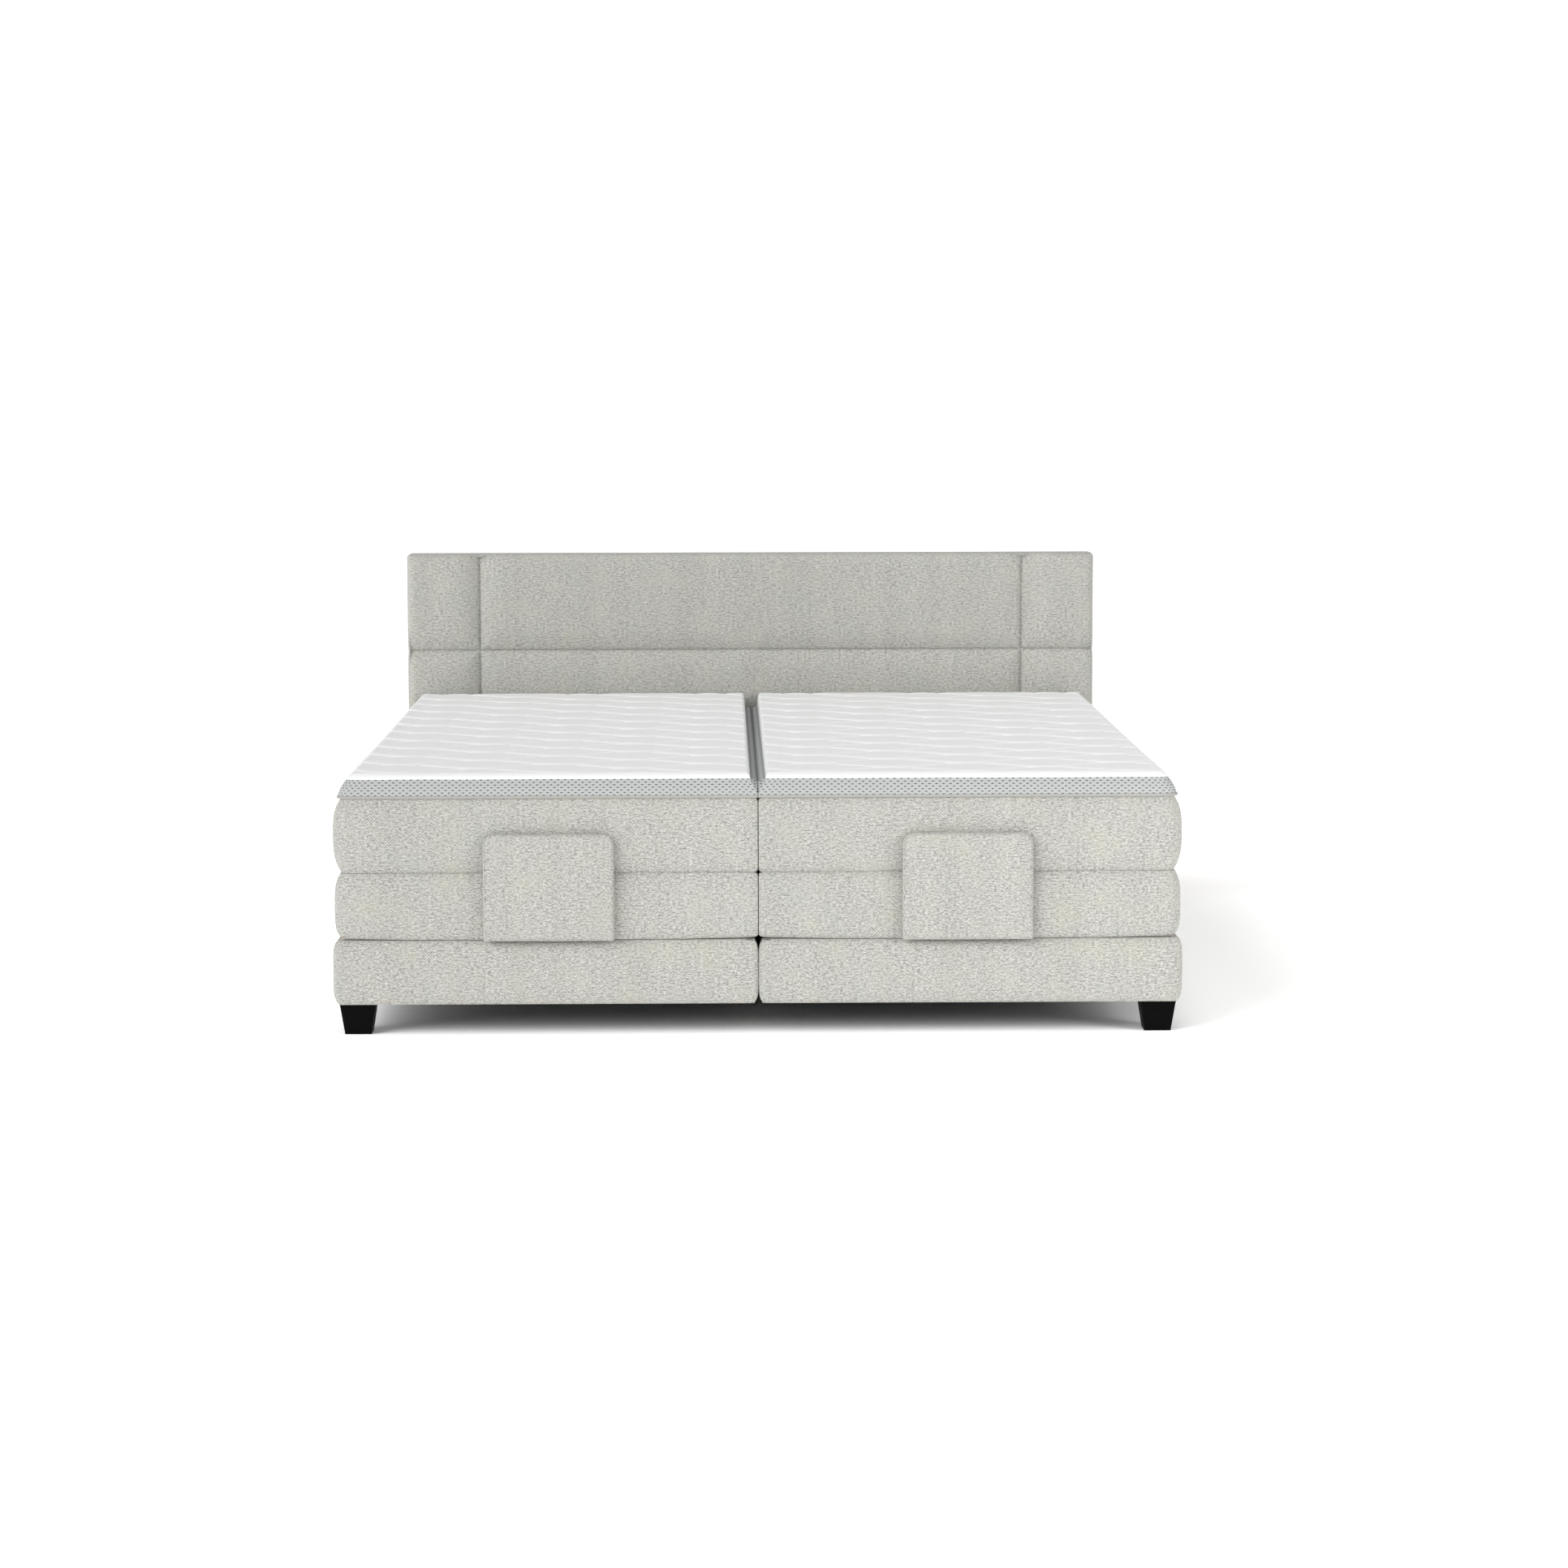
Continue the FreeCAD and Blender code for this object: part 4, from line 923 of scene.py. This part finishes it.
def topper_rise(rest, side, low, high):
    """How far the top stands over the border: a rolled edge, the quilting and slow waves."""
    to_low, to_high = rest[:, 0] - low[0], high[0] - rest[:, 0]
    to_centre, to_outer = (to_low, to_high) if side > 0 else (to_high, to_low)
    from_foot = rest[:, 1] - low[1]
    lengthwise = np.clip(from_foot / (high[1] - low[1]), 0, 1)
    roll_width = FOOT_ROLL_WIDTH + (HEAD_ROLL_WIDTH - FOOT_ROLL_WIDTH) * lengthwise
    to_centre_edge = to_centre * roll_width / CENTRE_ROLL_WIDTH
    edge = np.minimum.reduce([to_centre_edge, to_outer, from_foot, high[1] - rest[:, 1]])
    roll = FOOT_ROLL + HEAD_RISE * lengthwise ** RISE_POWER
    roll *= np.sqrt(1 - near(edge, roll_width) ** 2)
    fade = np.clip((edge - QUILT_MARGIN) / QUILT_FADE, 0, 1)
    at_head = np.clip((lengthwise - HEAD_QUILT_START) / HEAD_QUILT_FADE, 0, 1)
    sunk = (QUILT_SUNK + QUILT_SUNK_AT_HEAD * at_head) * QUILT_PUFF
    ripple = TOPPER_RIPPLE * slack(rest[:, 0] * 2.2, rest[:, 1] * 2.7, side + 3)
    wave = TOPPER_EDGE_WAVE * slack(rest[:, 0], rest[:, 1], side + 6) * near(edge, QUILT_FADE)
    return roll + fade * (quilt_height(to_low, from_foot) - sunk) + fade * ripple + wave


def topper_shape(side, low, high):
    """Leaning convex border, rounded edge and quilted top."""
    def shape(rest):
        points = rest.copy()
        top = rest[:, 2] > BORDER_TOP - ON_EDGE
        points[:, 2] += np.where(top, topper_rise(rest, side, low, high), 0)
        points = round_plan(points, low, high, corner_radii(side))
        return pull_in(points, low, high, topper_insets(rest, side, low, high))
    return shape


def topper_pieces(side_name, side):
    """The toppers: tape and mesh border on the flanks, quilted knit above."""
    low, high = side_box(side, TOPPER_LOW, TOPPER_HIGH, SLIT)
    high[2] = BORDER_TOP
    shape = topper_shape(side, low, high)
    tape_rows = np.linspace(low[2], TAPE_TOP, TAPE_ROWS + 1)
    border_rows = np.linspace(TAPE_TOP, BORDER_TOP, BORDER_ROWS + 1)
    rows = np.concatenate([tape_rows, border_rows[1:]])
    columns = edged_lines(low[0], high[0], *TOPPER_COLUMNS)

    def slot(_, row):
        return 2 if row < TAPE_ROWS else 1

    for part, (start, stop) in piece_spans(low[1], high[1]).items():
        lattice = Lattice(columns, edged_lines(start, stop, *TOPPER_LINES), rows)
        add_all_sides(lattice, COARSE, (part != "foot", part != "head"), slot)
        lattice.add_side(2, True)
        piece = lattice_object(f"{side_name}_topper_{part}", lattice, shape, [TOPPER, BORDER, TAPE])
        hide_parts(*replaced_sections(side_name, "topper", part))
        bend(piece, side_name, part, box_layer=False)


def rounded_plan_path(low, high, radii, step):
    """A closed plan path with rounded corners, and its outward normals."""
    corners = (
        (low[0], low[1], 180, radii[0]), (high[0], low[1], 270, radii[1]),
        (high[0], high[1], 0, radii[1]), (low[0], high[1], 90, radii[0]),
    )
    arcs = []
    for x, y, start, radius in corners:
        inward = np.array([1 if x == low[0] else -1, 1 if y == low[1] else -1])
        steps = max(4, round(radius * math.pi / 2 / step))
        turns = np.radians(np.linspace(start, start + 90, steps + 1))
        outward = np.stack([np.cos(turns), np.sin(turns)], axis=1)
        arcs.append(((x, y) + radius * inward + radius * outward, outward))
    points = []
    normals = []
    for (arc, outward), (after, _) in zip(arcs, arcs[1:] + arcs[:1]):
        run = after[0] - arc[-1]
        count = round(np.linalg.norm(run) / step)
        points += [arc, arc[-1] + run * (np.arange(1, count) / count)[:, None]]
        normals += [outward, np.repeat(outward[-1:], count - 1, axis=0)]
    return np.concatenate(points), np.concatenate(normals)


def base_profile(heights, bottom, top):
    """A closed section of (inset, height) points: up the outer face, over the lip, down inside."""
    share = (heights - (bottom + top) / 2) / ((top - bottom) / 2)
    insets = np.where(share > 0, BASE_TOP_INSET, BASE_FOOT_INSET) * np.abs(share) ** BASE_SQUARENESS
    dropped = heights - BASE_TOP_DROP * np.clip(share, 0, 1) ** 10
    lip = [
        (0.0105, top - 0.0004), (0.0125, top + 0.0004), (BASE_LIP_WIDTH, top + 0.0007),
        (BASE_LIP_WIDTH, top + 0.0002), (BASE_THICKNESS, top + 0.0002), (BASE_THICKNESS, bottom),
    ]
    return np.concatenate([np.stack([insets, dropped], axis=1), lip])


def base_pieces(side_name, side):
    """The padded cover round the timber box of one base, with a rounded upper and lower edge."""
    low, high = side_box(side, BASE_LOW, BASE_HIGH, BASE_SLIT)
    radii = corner_radii(side, BASE_CENTRE_CORNER, BASE_OUTER_CORNER)
    path, normals = rounded_plan_path(low, high, radii, BASE_STEP)
    bottom, top = BASE_LOW[2], BASE_HIGH[2]
    heights = eased_lines(bottom, top, BASE_ROWS)
    points, faces, cloth = ring_surface(path, normals, base_profile(heights, bottom, top))
    along = path[:, 0] * np.abs(normals[:, 1]) + path[:, 1] * np.abs(normals[:, 0])
    depth = np.minimum(heights - bottom, top - heights)
    straight = np.abs(normals).max(axis=1) > 0.999
    grid_along, grid_height = np.meshgrid(along, heights, indexing="ij")
    swell = BASE_SWELL * (slack(grid_along, grid_height, side) + 0.8) * np.clip(depth / SEAM_ZONE, 0, 1)
    push = (BASE_GATHER * gathers(along[:, None], depth[None, :]) + swell) * straight[:, None]
    points[:, :BASE_ROWS, :2] += normals[:, None, :] * push[:, :, None]
    name = f"{side_name}_base_upholstery"
    piece = make_object(name, points.reshape(-1, 3), faces, cloth, np.zeros(len(faces)), [UPHOLSTERY])
    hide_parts(f"{side_name}_base_cover")
    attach(piece, "base")


def headboard_seam(distance, depth, narrow):
    """Depth beside a seam: a broad soft shoulder and a narrow sewn groove."""
    shoulder = near(distance, HEAD_PAD_ROUND) ** HEAD_PAD_POWER
    return depth * ((1 - HEAD_GROOVE_SHARE) * shoulder + HEAD_GROOVE_SHARE * bell(distance, narrow))


def headboard_shape(low, high):
    """Three fields by two, puckered at their seams, with rounded edges and corners."""
    def shape(rest):
        points = rest.copy()
        front = rest[:, 1] < low[1] + ON_EDGE
        across = np.abs(rest[:, 0])
        to_upright = np.abs(across - HEAD_SEAM_X)
        to_level = np.abs(rest[:, 2] - HEAD_SEAM_Z)
        to_top = high[2] - rest[:, 2]
        upright = headboard_seam(to_upright, HEAD_SEAM_DEPTH, HEAD_SEAM_WIDTH)
        level_depth = 0.9 * HEAD_SEAM_DEPTH * (1 - 0.6 * bell(across, 0.020))
        level = headboard_seam(to_level, level_depth, HEAD_LEVEL_SEAM_WIDTH)
        knot = HEAD_KNOT * bell(across, 0.012) * bell(to_level, 0.009)
        notch = HEAD_NOTCH * bell(across, 0.014) * bell(to_top - HEAD_NOTCH_DROP, 0.006)
        away = np.clip(np.minimum(to_upright, to_level) / 0.05, 0, 1)
        field = HEAD_FIELD_SLACK * away * slack(rest[:, 0] * 0.7, rest[:, 2] * 0.7, 4)
        rim = np.minimum(high[0] - across, to_top)
        puckers = HEAD_PUCKER * gathers(rest[:, 0] + rest[:, 2], rim, reach=0.016)
        dip = np.maximum(upright, level) + knot + notch - field - puckers
        points[:, 1] += np.where(front, dip, 0)
        for axis, edge, sign in ((0, low, -1), (0, high, 1), (2, high, 1)):
            points = round_edge(points, axis, edge[axis], sign, 1, low[1], -1, HEAD_EDGE)
        for edge, sign in ((low, -1), (high, 1)):
            points = round_edge(points, 0, edge[0], sign, 2, high[2], 1, HEAD_CORNER)
        near_front = near(rest[:, 1] - low[1], 0.06)
        pulled = HEAD_SEAM_PULL * bell(to_upright, 0.012) + HEAD_MIDDLE_PULL * bell(across, 0.014)
        points[:, 2] -= pulled * near(to_top, SEAM_ZONE) * near_front
        waist = HEAD_WAIST * bell(to_level, 0.014) * near_front * near(high[0] - across, SEAM_ZONE)
        points[:, 0] -= np.sign(rest[:, 0]) * waist
        return points
    return shape


def headboard_piece():
    """The headboard's padding, closed at the back."""
    low, high = [np.array(corner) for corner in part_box("headboard_cover")]
    low[1] -= 0.0004
    xs = seam_lines(low[0], high[0], (-HEAD_SEAM_X, 0.0, HEAD_SEAM_X), HEAD_GRID, 0.0016, 0.04)
    zs = seam_lines(low[2], high[2], (HEAD_SEAM_Z,), HEAD_GRID, 0.0014, 0.04)
    ys = edged_lines(low[1], high[1], HEAD_GRID, 0.02, 0.002)
    lattice = Lattice(xs, ys, zs)
    lattice.add_side(0, False)
    lattice.add_side(0, True)
    lattice.add_side(1, False)
    lattice.add_side(1, True, COARSE)
    lattice.add_side(2, True)
    lattice.add_side(2, False, COARSE)
    piece = lattice_object("headboard_padding", lattice, headboard_shape(low, high), [UPHOLSTERY])
    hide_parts("headboard_cover")
    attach(piece, "base")


def foot_plate_piece(side_name):
    """Padded plate in front of the mattress, rounded at its upper corners."""
    low, high = [np.array(corner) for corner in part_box(f"{side_name}_foot_plate")]
    middle = (low + high) / 2

    def shape(rest):
        points = rest.copy()
        for edge, sign in ((low, -1), (high, 1)):
            points = round_edge(points, 0, edge[0], sign, 2, high[2], 1, PLATE_CORNER)
            points = round_edge(points, 0, edge[0], sign, 2, low[2], -1, PLATE_FOOT_CORNER)
        front_share = np.clip((middle[1] - rest[:, 1]) / (middle[1] - low[1]), 0, 1)
        back_share = np.clip((rest[:, 1] - middle[1]) / (high[1] - middle[1]), 0, 1)
        tuck = PLATE_EDGE * (front_share ** 3 + 0.5 * back_share ** 3)
        points = pull_in(points, low, high, [tuck] * 4, SEAM_ZONE, axes=(0, 2))
        front = rest[:, 1] < low[1] + ON_EDGE
        rim = np.minimum.reduce([rest[:, 0] - low[0], high[0] - rest[:, 0],
                                 rest[:, 2] - low[2], high[2] - rest[:, 2]])
        flat = 0.0008 * np.exp(-rim / 0.006)
        swell = 0.0005 * (1 - slack(rest[:, 0], rest[:, 2], 9))
        points[:, 1] += np.where(front, flat + swell, 0) + PLATE_THINNER * front_share
        return points

    lattice = Lattice(
        edged_lines(low[0], high[0], *PLATE_GRID),
        eased_lines(low[1], high[1], 11),
        edged_lines(low[2], high[2], *PLATE_GRID),
    )
    add_all_sides(lattice, 1)
    lattice.add_side(2, True)
    piece = lattice_object(f"{side_name}_foot_pad", lattice, shape, [UPHOLSTERY])
    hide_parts(f"{side_name}_foot_plate")
    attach(piece, f"{side_name}_calf")


# Stage, light and camera

FLOOR_HALF = 60.0


def add_floor():
    mesh = bpy.data.meshes.new("floor")
    corners = [(-1, -1, 0), (1, -1, 0), (1, 1, 0), (-1, 1, 0)]
    mesh.from_pydata([Vector(corner) * FLOOR_HALF for corner in corners], [], [(0, 1, 2, 3)])
    material, _, _ = new_material("pale_floor", (1.55, 1.55, 1.55), 0.9, specular=0.1)
    mesh.materials.append(material)
    floor = add_object("floor", mesh)


def add_area_light(name, place, target, size, power):
    data = bpy.data.lights.new(name, "AREA")
    data.shape = "RECTANGLE"
    data.size, data.size_y = size
    data.energy = power
    lamp = add_object(name, data)
    lamp.location = place
    lamp.rotation_euler = (Vector(target) - Vector(place)).to_track_quat("-Z", "Y").to_euler()


def add_light():
    """A white studio: bright near the horizon, softer above, with a key light from the left front."""
    world = bpy.data.worlds.new("studio")
    world.use_nodes = True
    background = world.node_tree.nodes["Background"]
    make = Nodes(world.node_tree)
    background.inputs["Color"].default_value = (1, 1, 1, 1)
    direction = make.node("ShaderNodeTexCoord").outputs["Generated"]
    split = make.node("ShaderNodeSeparateXYZ", {0: direction})
    make.link(make.range(split.outputs[2], 0.15, 0.6, 1.02, 0.44), background.inputs["Strength"])
    bpy.context.scene.world = world
    sun = bpy.data.lights.new("key", "SUN")
    sun.energy = 2.1
    sun.angle = math.radians(45)
    add_object("key", sun).rotation_euler = (math.radians(61), 0, math.radians(-50))
    add_area_light("fill", (4.6, -4.2, 1.8), (0.4, -0.6, 0.3), (2.2, 1.6), 105.0)
    bpy.context.scene.view_settings.view_transform = "Standard"


def add_camera():
    data = bpy.data.cameras.new("camera")
    data.lens = 87.6
    data.sensor_width = 36.0
    data.clip_end = 200.0
    camera = add_object("camera", data)
    camera.location = (-0.0719, -9.0305, 1.3415)
    camera.rotation_euler = (math.radians(90 - 5.757), math.radians(0.12), math.radians(-0.919))
    bpy.context.scene.camera = camera


def main():
    finish_cad_nodes()
    for side_name, side in SIDES.items():
        mattress_pieces(side_name, side)
        box_pieces(side_name, side)
        topper_pieces(side_name, side)
        base_pieces(side_name, side)
        foot_plate_piece(side_name)
    headboard_piece()
    add_floor()
    add_light()
    add_camera()


main()
